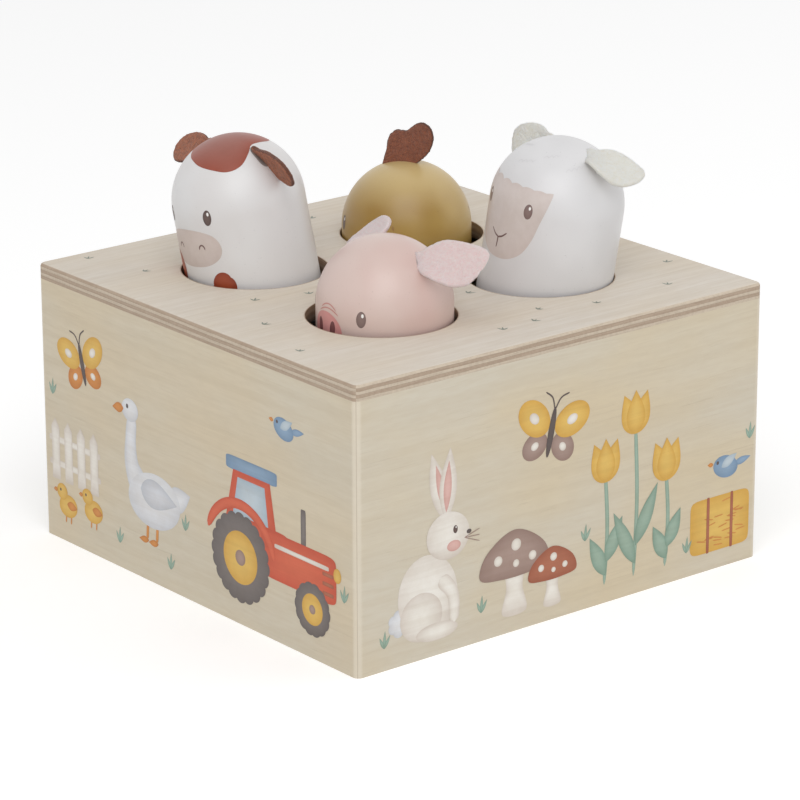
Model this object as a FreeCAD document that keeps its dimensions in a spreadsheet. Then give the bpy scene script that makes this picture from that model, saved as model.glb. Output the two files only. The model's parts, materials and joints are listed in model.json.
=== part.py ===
import FreeCAD, Part
import math
import os
import Sketcher

# A pop up animal toy. Four turned wooden pegs, each an animal, stand loose in the round holes of a
# plywood box. Inside, each peg sits on a wooden ball, which rests on a coil spring on the base board.
#
# Frame: millimetres, +Z up, origin at the middle of the underside. The animals look along -X, apart
# from the hen, which is turned aside.

os.makedirs("parts", exist_ok=True)
doc = FreeCAD.newDocument("pop_up_animals")
Vec = FreeCAD.Vector

# ---------------------------------------------------------------- sizes

SIZES = {
    # box
    "box_width": 160.0,             # along X
    "box_depth": 160.0,             # along Y
    "box_height": 90.0,             # floor to the top of the plate
    "top_thickness": 5.0,
    "wall_thickness": 5.0,
    "base_thickness": 5.0,
    "base_gap": 0.1,                # base board to side panels, each side
    "corner_radius": 2.0,           # upright edges of the box
    "top_edge_radius": 1.2,         # upper edge of the plate
    "block_side": 12.0,             # glue blocks in the corners
    # holes for the pegs
    "hole_gap": 2.2,                # peg to its hole, each side, when upright in the middle
    "hole_pitch_x": 63.0,
    "hole_pitch_y": 63.0,
    # pegs
    "peg_diameter": 41.6,
    "peg_foot_chamfer": 0.8,
    "skirt": 20.0,                  # length of peg below the top of the plate at rest
    "bore_diameter": 32.0,
    "bore_depth": 26.0,             # straight part of the bore
    "drill_point": 118.0,           # full angle of the bore's end
    "cow_height": 43.1,             # head above the plate at rest, along the peg
    "sheep_height": 44.6,
    "pig_height": 24.7,
    "hen_height": 23.6,
    "cow_lean": 9.7,                # degrees from upright
    "sheep_lean": 8.0,
    "pig_lean": 0.0,
    "hen_lean": 0.0,
    "cow_shift": 1.0,               # peg's middle from the hole's middle, at the top of the plate
    "sheep_shift": 1.6,
    "pig_shift": 1.0,
    "hen_shift": 1.6,
    "cow_turn": 0.0,                # degrees about the peg, from looking along -X
    "sheep_turn": 0.0,
    "pig_turn": 0.0,
    "hen_turn": -60.0,
    # spring, its ball and its seat
    "ball_diameter": 18.0,
    "ball_gap": 0.1,                # ball to spring, and ball to peg
    "coil_diameter": 13.8,          # middle of the wire
    "wire_diameter": 1.2,
    "coil_turns": 9.0,
    "coil_end_gap": 0.3,            # wire to seat
    "seat_diameter": 24.0,
    "seat_height": 4.0,
    "spigot_gap": 1.1,              # spigot to the inside of the coil, each side
    "spigot_height": 5.0,
    # countersunk screws
    "screw_diameter": 3.0,
    "screw_length": 13.0,
    "screw_tip": 2.0,
    "screw_head_diameter": 6.0,
    "screw_head_height": 1.5,
    "screw_recess": 0.3,            # head below the underside
    "screw_gap": 0.05,              # screw to its hole, each side
    "screw_slot_width": 0.8,
    "screw_slot_depth": 0.8,
    "screw_slot_length": 3.6,
    # felt ears
    "felt_thickness": 1.6,
    "felt_gap": 0.1,                # felt to its slot, each side
    "felt_rest": 0.3,               # felt to the head beside its slot
    "slot_depth": 4.0,
    "slot_reach": 9.6,              # the cutter's way outside the head
    "cow_ear_length": 15.5,         # outside the head
    "cow_ear_width": 10.0,
    "cow_ear_root": 6.0,
    "cow_left_bearing": 43.6,       # slot on the dome, degrees from the peg's axis
    "cow_left_behind": 5.2,         # slot turned back round the head
    "cow_left_droop": 23.5,         # below level
    "cow_left_sweep": 0.0,          # back from straight out
    "cow_left_roll": 23.5,          # 0 upright, 90 flat, less than 0 leans back
    "cow_right_bearing": 42.0,
    "cow_right_behind": 3.8,
    "cow_right_droop": 5.0,
    "cow_right_sweep": -0.8,
    "cow_right_roll": -49.0,
    "sheep_ear_length": 18.5,
    "sheep_ear_width": 12.0,
    "sheep_ear_root": 6.5,
    "sheep_left_bearing": 29.2,
    "sheep_left_behind": 10.8,
    "sheep_left_droop": 9.6,
    "sheep_left_sweep": 15.3,
    "sheep_left_roll": -65.0,
    "sheep_right_bearing": 40.5,
    "sheep_right_behind": 17.7,
    "sheep_right_droop": 18.4,
    "sheep_right_sweep": 5.9,
    "sheep_right_roll": -13.5,
    "pig_ear_length": 22.0,
    "pig_ear_width": 15.0,
    "pig_ear_root": 7.0,
    "pig_left_bearing": 42.0,
    "pig_left_behind": 9.6,
    "pig_left_droop": -7.3,
    "pig_left_sweep": 27.0,
    "pig_left_roll": -46.0,
    "pig_right_bearing": 42.7,
    "pig_right_behind": 25.4,
    "pig_right_droop": 2.8,
    "pig_right_sweep": 37.3,
    "pig_right_roll": -55.0,
    "ear_neck": 2.0,                # root's width goes on this far outside the head
    "ear_tip_radius": 3.5,
    "ear_tip_width": 4.0,
    # felt comb of the hen
    "comb_width": 16.4,
    "comb_lobe_radius": 4.6,
    "comb_shoulder": 9.0,           # middle of the lobes above the head
    "comb_root": 9.0,
    "comb_forward": 2.6,            # root's middle from the peg's axis, towards the beak
    "comb_tilt": 12.0,              # degrees back from the peg's axis
}

sheet = doc.addObject("Spreadsheet::Sheet", "sizes")
for row, (alias, number) in enumerate(SIZES.items(), start=1):
    sheet.set("A%d" % row, alias)
    sheet.set("B%d" % row, str(number))
    sheet.setAlias("B%d" % row, alias)
doc.recompute()


def worth(expression):
    """The number that an expression on the sheet comes to now."""
    result = sheet.evalExpression(expression)
    return float(getattr(result, "Value", result))


def size(alias):
    """One driving dimension."""
    return worth("sizes." + alias)


def sin(degrees):
    return math.sin(math.radians(degrees))


def cos(degrees):
    return math.cos(math.radians(degrees))


# ---------------------------------------------------------------- helpers

def primitive(kind, name, **sizes):
    """A Part primitive whose properties follow expressions on the sheet."""
    item = doc.addObject("Part::" + kind, name)
    for prop, expression in sizes.items():
        item.setExpression(prop, expression)
    return item


def move(item, x="0", y="0", z="0", turn=None):
    """Put a primitive at a place that follows the sheet, with a fixed turn."""
    item.Placement.Rotation = turn or FreeCAD.Rotation()
    item.setExpression(".Placement.Base.x", x)
    item.setExpression(".Placement.Base.y", y)
    item.setExpression(".Placement.Base.z", z)
    return item


def group(kind, name, items):
    """A fusion or a compound of several solids."""
    item = doc.addObject("Part::" + kind, name)
    if kind == "Compound":
        item.Links = items
    else:
        item.Shapes = items
    return item


def cut(name, base, tool):
    """base less tool."""
    item = doc.addObject("Part::Cut", name)
    item.Base = base
    item.Tool = tool
    return item


def fillet(name, base, radius, wanted):
    """Round the edges of base for which wanted(edge) holds."""
    doc.recompute()
    item = doc.addObject("Part::Fillet", name)
    item.Base = base
    edges = base.Shape.Edges
    item.Edges = [(n, radius, radius) for n, edge in enumerate(edges, start=1) if wanted(edge)]
    return item


def is_upright(edge):
    direction = edge.tangentAt(edge.FirstParameter)
    return abs(direction.z) > 0.999


def plane_of(body, role):
    """An origin plane of the body."""
    return next(item for item in body.Origin.OriginFeatures if item.Role == role)


def bound(sketch, kind, geometry, point, expression):
    """Fix one coordinate of a sketch point to an expression."""
    value = worth(expression)
    number = sketch.addConstraint(Sketcher.Constraint(kind, -1, 1, geometry, point, value))
    sketch.setExpression("Constraints[%d]" % number, expression)


def arc_middle(start, end, rule, value):
    """Centre of an arc from start to end that turns left, from one coordinate of it or from its radius."""
    chord = end - start
    mid = (start + end) * 0.5
    left = Vec(-chord.y, chord.x, 0) * (1 / chord.Length)
    if rule == "DistanceX":
        return mid + left * ((value - mid.x) / left.x)
    if rule == "DistanceY":
        return mid + left * ((value - mid.y) / left.y)
    return mid + left * math.sqrt(value ** 2 - (chord.Length / 2) ** 2)


def outline(body, role, corners, arcs):
    """A closed sketch through corners, given as pairs of expressions, against the clock.
    arcs maps the number of a side to the rule that fixes its arc: DistanceX or DistanceY of the
    centre, or Radius."""
    sketch = body.newObject("Sketcher::SketchObject", body.Name + "_outline")
    sketch.AttachmentSupport = (plane_of(body, role), [""])
    sketch.MapMode = "FlatFace"
    points = [Vec(worth(x), worth(y), 0) for x, y in corners]
    count = len(points)
    for n in range(count):
        start = points[n]
        end = points[(n + 1) % count]
        if n not in arcs:
            sketch.addGeometry(Part.LineSegment(start, end))
            continue
        rule, expression = arcs[n]
        centre = arc_middle(start, end, rule, worth(expression))
        circle = Part.Circle(centre, Vec(0, 0, 1), (start - centre).Length)
        sketch.addGeometry(Part.ArcOfCircle(circle, circle.parameter(start), circle.parameter(end)))
    for n in range(count):
        sketch.addConstraint(Sketcher.Constraint("Coincident", n, 2, (n + 1) % count, 1))
        bound(sketch, "DistanceX", n, 1, corners[n][0])
        bound(sketch, "DistanceY", n, 1, corners[n][1])
    for n, (rule, expression) in arcs.items():
        if rule == "Radius":
            number = sketch.addConstraint(Sketcher.Constraint("Radius", n, worth(expression)))
            sketch.setExpression("Constraints[%d]" % number, expression)
        else:
            bound(sketch, rule, n, 3, expression)
    return sketch


def turned(name, corners, arcs=None):
    """A piece turned on a lathe: its half outline, in X and Z, revolved about Z."""
    body = doc.addObject("PartDesign::Body", name)
    sketch = outline(body, "XZ_Plane", corners, arcs or {})
    feature = body.newObject("PartDesign::Revolution", name + "_turning")
    feature.Profile = sketch
    feature.ReferenceAxis = (sketch, ["V_Axis"])
    feature.Angle = 360
    return body


def sheet_cut(name, corners, arcs, thickness):
    """A flat piece cut from sheet: its outline in X and Y, with the sheet's middle at Z = 0."""
    body = doc.addObject("PartDesign::Body", name)
    feature = body.newObject("PartDesign::Pad", name + "_sheet")
    feature.Profile = outline(body, "XY_Plane", corners, arcs)
    feature.Midplane = True
    feature.setExpression("Length", thickness)
    return body


# ---------------------------------------------------------------- the box

WALL_HEIGHT = "(sizes.box_height - sizes.top_thickness)"

box_form = primitive("Box", "box_form", Length="sizes.box_width", Width="sizes.box_depth",
                     Height=WALL_HEIGHT)
move(box_form, "-sizes.box_width / 2", "-sizes.box_depth / 2")
rounded_form = fillet("rounded_box_form", box_form, size("corner_radius"), is_upright)


def side_panel(name, side, run, corner_x, corner_y):
    """A side panel, mitred at both ends, with its half of each rounded corner of the box."""
    board = primitive("Wedge", name + "_board", Xmax=run, X2min="sizes.wall_thickness",
                      X2max=run + " - sizes.wall_thickness", Ymax="sizes.wall_thickness",
                      Zmax=WALL_HEIGHT, Z2max=WALL_HEIGHT)
    for prop in ("Xmin", "Ymin", "Zmin", "Z2min"):
        setattr(board, prop, 0)
    move(board, corner_x, corner_y, turn=FreeCAD.Rotation(Vec(0, 0, 1), 90 * side))
    panel = doc.addObject("Part::Common", name)
    panel.Base = board
    panel.Tool = rounded_form
    return panel


panels = [
    side_panel("left_panel", 0, "sizes.box_width", "-sizes.box_width / 2", "-sizes.box_depth / 2"),
    side_panel("back_panel", 1, "sizes.box_depth", "sizes.box_width / 2", "-sizes.box_depth / 2"),
    side_panel("right_panel", 2, "sizes.box_width", "sizes.box_width / 2", "sizes.box_depth / 2"),
    side_panel("front_panel", 3, "sizes.box_depth", "-sizes.box_width / 2", "sizes.box_depth / 2"),
]

# each animal: the signs of its hole's place, and the bearing in which its peg leans or stands off
ANIMALS = {
    "cow": (-1, 1, 135),
    "sheep": (1, -1, -45),
    "pig": (-1, -1, -45),
    "hen": (1, 1, 135),
}
HOLE_X = "sizes.hole_pitch_x / 2"
HOLE_Y = "sizes.hole_pitch_y / 2"


def hole_place(animal):
    """Expressions for the middle of an animal's hole."""
    sign_x, sign_y, _ = ANIMALS[animal]
    return "%d * %s" % (sign_x, HOLE_X), "%d * %s" % (sign_y, HOLE_Y)


def top_plate():
    """The plywood top, with its four holes."""
    board = primitive("Box", "top_board", Length="sizes.box_width", Width="sizes.box_depth",
                      Height="sizes.top_thickness")
    move(board, "-sizes.box_width / 2", "-sizes.box_depth / 2", WALL_HEIGHT)
    cornered = fillet("top_corners", board, size("corner_radius"), is_upright)
    top = size("box_height")
    eased = fillet("top_eased", cornered, size("top_edge_radius"),
                   lambda edge: edge.BoundBox.ZMin > top - 0.001)
    holes = []
    for animal in ANIMALS:
        hole = primitive("Cylinder", animal + "_hole", Radius="sizes.peg_diameter / 2 + sizes.hole_gap",
                         Height="3 * sizes.top_thickness")
        x, y = hole_place(animal)
        holes.append(move(hole, x, y, "sizes.box_height - 2 * sizes.top_thickness"))
    return cut("top_plate", eased, group("MultiFuse", "peg_holes", holes))


plate = top_plate()

BLOCK_X = "(sizes.box_width / 2 - sizes.wall_thickness - sizes.block_side / 2)"
BLOCK_Y = "(sizes.box_depth / 2 - sizes.wall_thickness - sizes.block_side / 2)"
CORNERS = {"a": (-1, -1), "b": (1, -1), "c": (1, 1), "d": (-1, 1)}


def screw_places():
    """Names and places of the screws: one under each glue block and one under each spring seat."""
    places = {}
    for letter, (sign_x, sign_y) in CORNERS.items():
        places["base_" + letter] = ("%d * %s" % (sign_x, BLOCK_X), "%d * %s" % (sign_y, BLOCK_Y))
    for animal in ANIMALS:
        places["seat_" + animal] = hole_place(animal)
    return places


def screw_form(name, x, y, gap):
    """The outer form of a countersunk screw, head down, grown by gap all round, as for its hole."""
    head = primitive("Cone", name + "_head", Height="sizes.screw_head_height",
                     Radius1="sizes.screw_head_diameter / 2 + " + gap,
                     Radius2="sizes.screw_diameter / 2 + " + gap)
    move(head, x, y, "sizes.screw_recess")
    shank = primitive("Cylinder", name + "_shank", Radius="sizes.screw_diameter / 2 + " + gap,
                      Height="sizes.screw_length - sizes.screw_tip - sizes.screw_recess")
    move(shank, x, y, "sizes.screw_recess")
    tip = primitive("Cone", name + "_tip", Radius1="sizes.screw_diameter / 2 + " + gap,
                    Height="sizes.screw_tip + " + gap)
    tip.Radius2 = 0
    move(tip, x, y, "sizes.screw_length - sizes.screw_tip")
    return [head, shank, tip]


def screw(name, x, y):
    """A countersunk screw with a cross slot."""
    body = group("MultiFuse", name + "_form", screw_form(name, x, y, "0"))
    bars = []
    for turn in (0, 90):
        bar = primitive("Box", "%s_slot_%d" % (name, turn), Length="sizes.screw_slot_length",
                        Width="sizes.screw_slot_width",
                        Height="sizes.screw_slot_depth + sizes.screw_recess")
        along = "sizes.screw_slot_length / 2"
        across = "sizes.screw_slot_width / 2"
        if turn:
            move(bar, "%s + %s" % (x, across), "%s - %s" % (y, along),
                 turn=FreeCAD.Rotation(Vec(0, 0, 1), turn))
        else:
            move(bar, "%s - %s" % (x, along), "%s - %s" % (y, across))
        bars.append(bar)
    return cut(name, body, group("MultiFuse", name + "_slots", bars))


def screw_hole(name, x, y):
    """The hole for a screw: its form with a little room, open at the underside."""
    mouth = primitive("Cylinder", name + "_mouth", Height="2 * sizes.screw_recess",
                      Radius="sizes.screw_head_diameter / 2 + sizes.screw_gap")
    move(mouth, x, y, "-sizes.screw_recess")
    forms = screw_form(name, x, y, "sizes.screw_gap")
    return group("MultiFuse", name, forms + [mouth])


SCREWS = screw_places()
screw_holes = {place: screw_hole(place + "_screw_hole", x, y) for place, (x, y) in SCREWS.items()}


def base_board():
    """The board that closes the box from below, let in flush between the side panels."""
    inset = "sizes.wall_thickness + sizes.base_gap"
    board = primitive("Box", "base_blank", Height="sizes.base_thickness",
                      Length="sizes.box_width - 2 * (%s)" % inset,
                      Width="sizes.box_depth - 2 * (%s)" % inset)
    move(board, "-sizes.box_width / 2 + " + inset, "-sizes.box_depth / 2 + " + inset)
    holes = group("Compound", "base_holes", list(screw_holes.values()))
    return cut("base_board", board, holes)


def corner_blocks():
    """Four glue blocks, from the base board up to the top plate."""
    blocks = []
    for letter, (sign_x, sign_y) in CORNERS.items():
        block = primitive("Box", "block_blank_" + letter, Length="sizes.block_side",
                          Width="sizes.block_side", Height=WALL_HEIGHT + " - sizes.base_thickness")
        move(block, "%d * %s - sizes.block_side / 2" % (sign_x, BLOCK_X),
             "%d * %s - sizes.block_side / 2" % (sign_y, BLOCK_Y), "sizes.base_thickness")
        blocks.append(cut("block_" + letter, block, screw_holes["base_" + letter]))
    return group("Compound", "corner_blocks", blocks)


board = base_board()
blocks = corner_blocks()
screws = {place: screw(place + "_screw", x, y) for place, (x, y) in SCREWS.items()}
base_screws = group("Compound", "base_screws", [screws["base_" + letter] for letter in CORNERS])
seat_screws = group("Compound", "seat_screws", [screws["seat_" + animal] for animal in ANIMALS])

# ---------------------------------------------------------------- where each animal stands

UP = Vec(0, 0, 1)


def peg_axis(animal):
    """Unit vector along the peg, up."""
    lean = size(animal + "_lean")
    bearing = ANIMALS[animal][2]
    return Vec(cos(bearing), sin(bearing), 0) * sin(lean) + UP * cos(lean)


def plate_point(animal):
    """Where the peg's axis passes the top of the plate."""
    x, y = hole_place(animal)
    bearing = ANIMALS[animal][2]
    shift = size(animal + "_shift")
    return Vec(worth(x) + shift * cos(bearing), worth(y) + shift * sin(bearing), size("box_height"))


def peg_placement(animal):
    """Carries a peg that is drawn upright, with its foot at the origin and its face to -X, to its place."""
    axis = peg_axis(animal)
    turn = FreeCAD.Rotation(UP, axis) * FreeCAD.Rotation(UP, size(animal + "_turn"))
    return FreeCAD.Placement(plate_point(animal) - axis * size("skirt"), turn)


# the cone at the end of the bore, and the ball that fits it
CONE_HEIGHT = "sizes.bore_diameter / 2 / tan(sizes.drill_point * 1deg / 2)"
BALL_HEIGHT = ("(sizes.bore_depth + %s - (sizes.ball_diameter / 2 + sizes.ball_gap)"
               " / sin(sizes.drill_point * 1deg / 2))" % CONE_HEIGHT)


def ball_point(animal):
    """Centre of the ball under a peg."""
    return plate_point(animal) + peg_axis(animal) * (worth(BALL_HEIGHT) - size("skirt"))


# ---------------------------------------------------------------- spring, seat and ball

def spring_seat(animal):
    """A turned seat, glued to the base board, with a spigot inside the spring."""
    x, y = hole_place(animal)
    spigot = "(sizes.coil_diameter - sizes.wire_diameter) / 2 - sizes.spigot_gap"
    blank = turned(animal + "_seat_blank", [
        ("0", "0"),
        ("sizes.seat_diameter / 2", "0"),
        ("sizes.seat_diameter / 2", "sizes.seat_height"),
        (spigot, "sizes.seat_height"),
        (spigot, "sizes.seat_height + sizes.spigot_height"),
        ("0", "sizes.seat_height + sizes.spigot_height"),
    ])
    move(blank, x, y, "sizes.base_thickness")
    return cut(animal + "_spring_seat", blank, screw_holes["seat_" + animal])


def spring(animal):
    """A coil spring from its seat to the underside of its ball, in line with the ball's centre."""
    x, y = hole_place(animal)
    foot = Vec(worth(x), worth(y), size("base_thickness") + size("seat_height"))
    reach = ball_point(animal) - foot
    start = size("wire_diameter") / 2 + size("coil_end_gap")
    contact = size("ball_diameter") / 2 + size("wire_diameter") / 2 + size("ball_gap")
    below_ball = math.sqrt(contact ** 2 - (size("coil_diameter") / 2) ** 2)
    line = primitive("Helix", animal + "_spring_line", Radius="sizes.coil_diameter / 2")
    line.Height = reach.Length - start - below_ball
    line.Pitch = line.Height / size("coil_turns")
    section = primitive("Circle", animal + "_wire", Radius="sizes.wire_diameter / 2")
    move(section, "sizes.coil_diameter / 2", turn=FreeCAD.Rotation(Vec(1, 0, 0), 90))
    wire = doc.addObject("Part::Sweep", animal + "_spring")
    wire.Sections = [section]
    wire.Spine = (line, [])
    wire.Solid = True
    wire.Frenet = True
    aim = FreeCAD.Rotation(UP, reach)
    wire.Placement = FreeCAD.Placement(foot + aim.multVec(UP * start), aim)
    return wire


def spring_ball(animal):
    """A wooden ball on the spring, on which the peg sits and turns."""
    ball = primitive("Sphere", animal + "_ball", Radius="sizes.ball_diameter / 2")
    ball.Placement = FreeCAD.Placement(ball_point(animal), FreeCAD.Rotation(UP, peg_axis(animal)))
    return ball


# ---------------------------------------------------------------- felt

# the side of each ear: the left one is on -Y when its animal looks along -X
EARS = {"left": -1, "right": 1}


def head_middle(animal):
    """Expression for the middle of the round head, above the peg's foot."""
    return "(sizes.skirt + sizes.%s_height - sizes.peg_diameter / 2)" % animal


def ear_frame(animal, hand):
    """An ear's place on its peg: X out along the ear, Y across it, origin where it leaves the head."""
    side = EARS[hand]
    bearing, behind, droop, sweep, roll = (
        size("%s_%s_%s" % (animal, hand, angle)) for angle in ("bearing", "behind", "droop", "sweep", "roll"))
    radius = size("peg_diameter") / 2
    out = radius * sin(bearing)
    height = worth(head_middle(animal)) + radius * cos(bearing)
    place = Vec(out * sin(behind), side * out * cos(behind), height)
    level = Vec(sin(sweep), side * cos(sweep), 0)
    along = level * cos(droop) - UP * sin(droop)
    upright = FreeCAD.Rotation(along, UP, UP.cross(level), "XYZ")
    return FreeCAD.Placement(place, upright * FreeCAD.Rotation(Vec(1, 0, 0), -side * roll))


def comb_frame():
    """The comb's place on the hen: Y up out of the head and leaning back, X to the front."""
    radius = size("peg_diameter") / 2
    forward = size("comb_forward")
    height = worth(head_middle("hen")) + math.sqrt(radius ** 2 - forward ** 2)
    upright = FreeCAD.Rotation(Vec(-1, 0, 0), UP, Vec(0, 1, 0), "XYZ")
    return FreeCAD.Placement(Vec(-forward, 0, height), upright * FreeCAD.Rotation(UP, size("comb_tilt")))


def felt_slot(name, frame, root, along, across):
    """The slot that felt is glued into. along and across name the box sizes of its depth and its width."""
    slot = primitive("Box", name + "_slot", Height="sizes.felt_thickness + 2 * sizes.felt_gap")
    slot.setExpression(along, "sizes.slot_depth + sizes.slot_reach")
    slot.setExpression(across, root + " + 2 * sizes.felt_gap")
    deep = -size("slot_depth")
    wide = -worth(root) / 2 - size("felt_gap")
    thick = -size("felt_thickness") / 2 - size("felt_gap")
    corner = Vec(deep, wide, thick) if along == "Length" else Vec(wide, deep, thick)
    slot.Placement = frame * FreeCAD.Placement(corner, FreeCAD.Rotation())
    return slot


def seated(name, felt, animal, slot):
    """Felt on its peg. Its root fills the slot, and beside the slot it clears the head."""
    head = primitive("Sphere", name + "_head", Radius="sizes.peg_diameter / 2 + sizes.felt_rest")
    move(head, z=head_middle(animal))
    piece = cut(name, felt, cut(name + "_room", head, slot))
    piece.Placement = peg_placement(animal)
    return piece


def felt_ear(animal, hand, slot):
    """A leaf of felt with a round tip."""
    name = "%s_%s_ear" % (animal, hand)
    root = "sizes.%s_ear_root / 2" % animal
    wide = "sizes.%s_ear_width / 2" % animal
    long = "sizes.%s_ear_length" % animal
    tip = "sizes.ear_tip_width / 2"
    inner = "-sizes.slot_depth + sizes.felt_gap"
    widest = "(%s + sizes.ear_neck) / 2" % long
    leaf = sheet_cut(name + "_leaf", [
        (inner, "-" + root),
        ("sizes.ear_neck", "-" + root),
        (widest, "-" + wide),
        (long, "-" + tip),
        (long, tip),
        (widest, wide),
        ("sizes.ear_neck", root),
        (inner, root),
    ], {
        1: ("DistanceX", widest),
        2: ("DistanceX", widest),
        3: ("Radius", "sizes.ear_tip_radius"),
        4: ("DistanceX", widest),
        5: ("DistanceX", widest),
    }, "sizes.felt_thickness")
    leaf.Placement = ear_frame(animal, hand)
    return seated(name, leaf, animal, slot)


def felt_comb(slot):
    """The hen's comb, a sheet of felt with two round lobes."""
    half = "sizes.comb_width / 2"
    root = "sizes.comb_root / 2"
    lobe = "sizes.comb_lobe_radius"
    shoulder = "sizes.comb_shoulder"
    inner = "-sizes.slot_depth + sizes.felt_gap"
    notch = "%s + sqrt(%s ^ 2 - (%s - %s) ^ 2)" % (shoulder, lobe, half, lobe)
    comb = sheet_cut("hen_comb_leaf", [
        ("-" + root, inner),
        (root, inner),
        (root, "0"),
        (half, shoulder),
        ("0", notch),
        ("-" + half, shoulder),
        ("-" + root, "0"),
    ], {
        3: ("DistanceY", shoulder),
        4: ("DistanceY", shoulder),
    }, "sizes.felt_thickness")
    comb.Placement = comb_frame()
    return seated("hen_comb", comb, "hen", slot)


# ---------------------------------------------------------------- pegs

def peg(animal, slots):
    """A turned peg with a round head, a bore from below that ends in a drill point, and felt slots."""
    radius = "sizes.peg_diameter / 2"
    bore = "sizes.bore_diameter / 2"
    edge = "sizes.peg_foot_chamfer"
    blank = turned(animal + "_blank", [
        (bore, "0"),
        (radius + " - " + edge, "0"),
        (radius, edge),
        (radius, head_middle(animal)),
        ("0", "sizes.skirt + sizes.%s_height" % animal),
        ("0", "sizes.bore_depth + " + CONE_HEIGHT),
        (bore, "sizes.bore_depth"),
    ], {3: ("DistanceX", "0")})
    slotted = cut(animal + "_peg", blank, group("Compound", animal + "_slots", slots))
    slotted.Placement = peg_placement(animal)
    return slotted


def animal_pieces(animal):
    """Seat, spring, ball, peg and felt of one animal."""
    if animal == "hen":
        slots = [felt_slot("hen_comb", comb_frame(), "sizes.comb_root", "Width", "Length")]
        felt = [felt_comb(slots[0])]
    else:
        root = "sizes.%s_ear_root" % animal
        slots = [felt_slot("%s_%s_ear" % (animal, hand), ear_frame(animal, hand), root, "Length", "Width")
                 for hand in EARS]
        felt = [felt_ear(animal, hand, slot) for hand, slot in zip(EARS, slots)]
    return [spring_seat(animal), spring(animal), spring_ball(animal), peg(animal, slots)] + felt


pieces = panels + [plate, board, blocks, base_screws, seat_screws]
for animal in ANIMALS:
    pieces += animal_pieces(animal)

# ---------------------------------------------------------------- check and write

doc.recompute()
for item in doc.Objects:
    if "Invalid" in item.State or "Error" in item.State:
        raise RuntimeError("%s failed: %s" % (item.Name, item.State))
for piece in pieces:
    shape = piece.Shape
    if shape.isNull() or not shape.isValid() or not shape.Solids:
        raise RuntimeError(piece.Label + " has no valid shape")
    shape.exportStep("parts/%s.step" % piece.Label)
    print("%-18s %d solid(s), %9.1f mm3" % (piece.Label, len(shape.Solids), shape.Volume))
for animal in ANIMALS:
    print(animal, "axis", peg_axis(animal), "plate point", plate_point(animal), "ball", ball_point(animal))
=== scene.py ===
# %% [markdown]
# # A pop up toy in plywood, paint and felt
#
# The toy is a square plywood box with four round holes. In each hole stands a turned wooden peg with
# an animal's face: a cow, a sheep, a pig and a hen. A child presses a peg, and the spring below it
# pops it up again. The solids of every piece come from the frame, in metres, and this lesson gives
# them their looks: wood grain, satin paint, wool felt, steel wire and printed pictures.

# %% Load the frame
import json
import math

import bmesh
import bpy
import numpy as np
from mathutils import Matrix, Vector


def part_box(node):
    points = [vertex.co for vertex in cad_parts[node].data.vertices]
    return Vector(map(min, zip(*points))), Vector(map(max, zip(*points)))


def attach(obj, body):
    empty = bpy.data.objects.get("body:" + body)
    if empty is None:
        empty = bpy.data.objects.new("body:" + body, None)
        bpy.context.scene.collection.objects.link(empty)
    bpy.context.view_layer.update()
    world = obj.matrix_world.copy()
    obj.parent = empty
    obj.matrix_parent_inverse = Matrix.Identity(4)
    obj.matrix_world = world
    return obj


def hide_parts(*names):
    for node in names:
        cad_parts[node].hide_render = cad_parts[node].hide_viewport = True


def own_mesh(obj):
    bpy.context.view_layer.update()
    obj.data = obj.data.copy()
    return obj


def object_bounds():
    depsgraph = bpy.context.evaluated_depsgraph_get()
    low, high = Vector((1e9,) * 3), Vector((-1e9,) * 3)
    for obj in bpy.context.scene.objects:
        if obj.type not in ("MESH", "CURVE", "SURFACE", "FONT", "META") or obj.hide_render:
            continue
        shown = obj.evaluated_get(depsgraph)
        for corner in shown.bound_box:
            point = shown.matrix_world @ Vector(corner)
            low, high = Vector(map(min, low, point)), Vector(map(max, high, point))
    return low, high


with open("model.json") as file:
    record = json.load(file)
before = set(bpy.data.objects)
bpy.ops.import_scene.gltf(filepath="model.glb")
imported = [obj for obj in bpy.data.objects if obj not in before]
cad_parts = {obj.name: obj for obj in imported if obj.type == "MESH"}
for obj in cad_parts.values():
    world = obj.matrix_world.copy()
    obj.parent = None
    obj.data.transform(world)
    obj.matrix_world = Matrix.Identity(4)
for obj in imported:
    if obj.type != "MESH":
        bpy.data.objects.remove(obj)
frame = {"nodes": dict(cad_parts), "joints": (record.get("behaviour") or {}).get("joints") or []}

CAD_BOX = [list(corner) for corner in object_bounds()]

# %% [markdown]
# ## Camera
#
# A long lens from a corner of the box shows two side panels and the top. The view is written as the
# bearing and the height of the camera above the horizon, the way one would set up a tripod, and the
# three axes of the camera follow from those angles.

# %% Set up the camera
CAMERA_PLACE = (-0.74806, -0.92498, 0.44757)
CAMERA_BEARING = math.radians(-39.002)
CAMERA_RISE = math.radians(18.565)
CAMERA_ROLL = math.radians(-0.156)
LENS = 180.0

right = Vector((math.cos(CAMERA_BEARING), math.sin(CAMERA_BEARING), 0))
back = Vector((math.sin(CAMERA_BEARING) * math.cos(CAMERA_RISE),
               -math.cos(CAMERA_BEARING) * math.cos(CAMERA_RISE),
               math.sin(CAMERA_RISE)))
axes = Matrix((right, back.cross(right), back)).transposed()
camera = bpy.data.objects.new("camera", bpy.data.cameras.new("camera"))
camera.data.lens = LENS
camera.data.clip_end = 50
camera.matrix_world = (Matrix.Translation(CAMERA_PLACE)
                       @ (axes @ Matrix.Rotation(CAMERA_ROLL, 3, "Z")).to_4x4())
bpy.context.scene.collection.objects.link(camera)
bpy.context.scene.camera = camera
bpy.context.scene.view_settings.view_transform = "Standard"
print("camera stands", round(Vector(CAMERA_PLACE).length, 3), "m from the middle of the underside")

# %% [markdown]
# ## Numbers and colours
#
# Pieces are worked out in millimetres, because that is how a toy maker thinks, and go into meshes in
# metres. Colours are written as a paint shop would read them from a swatch, from 0 to 255, and turned
# into the linear light that shaders add up.

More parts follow.
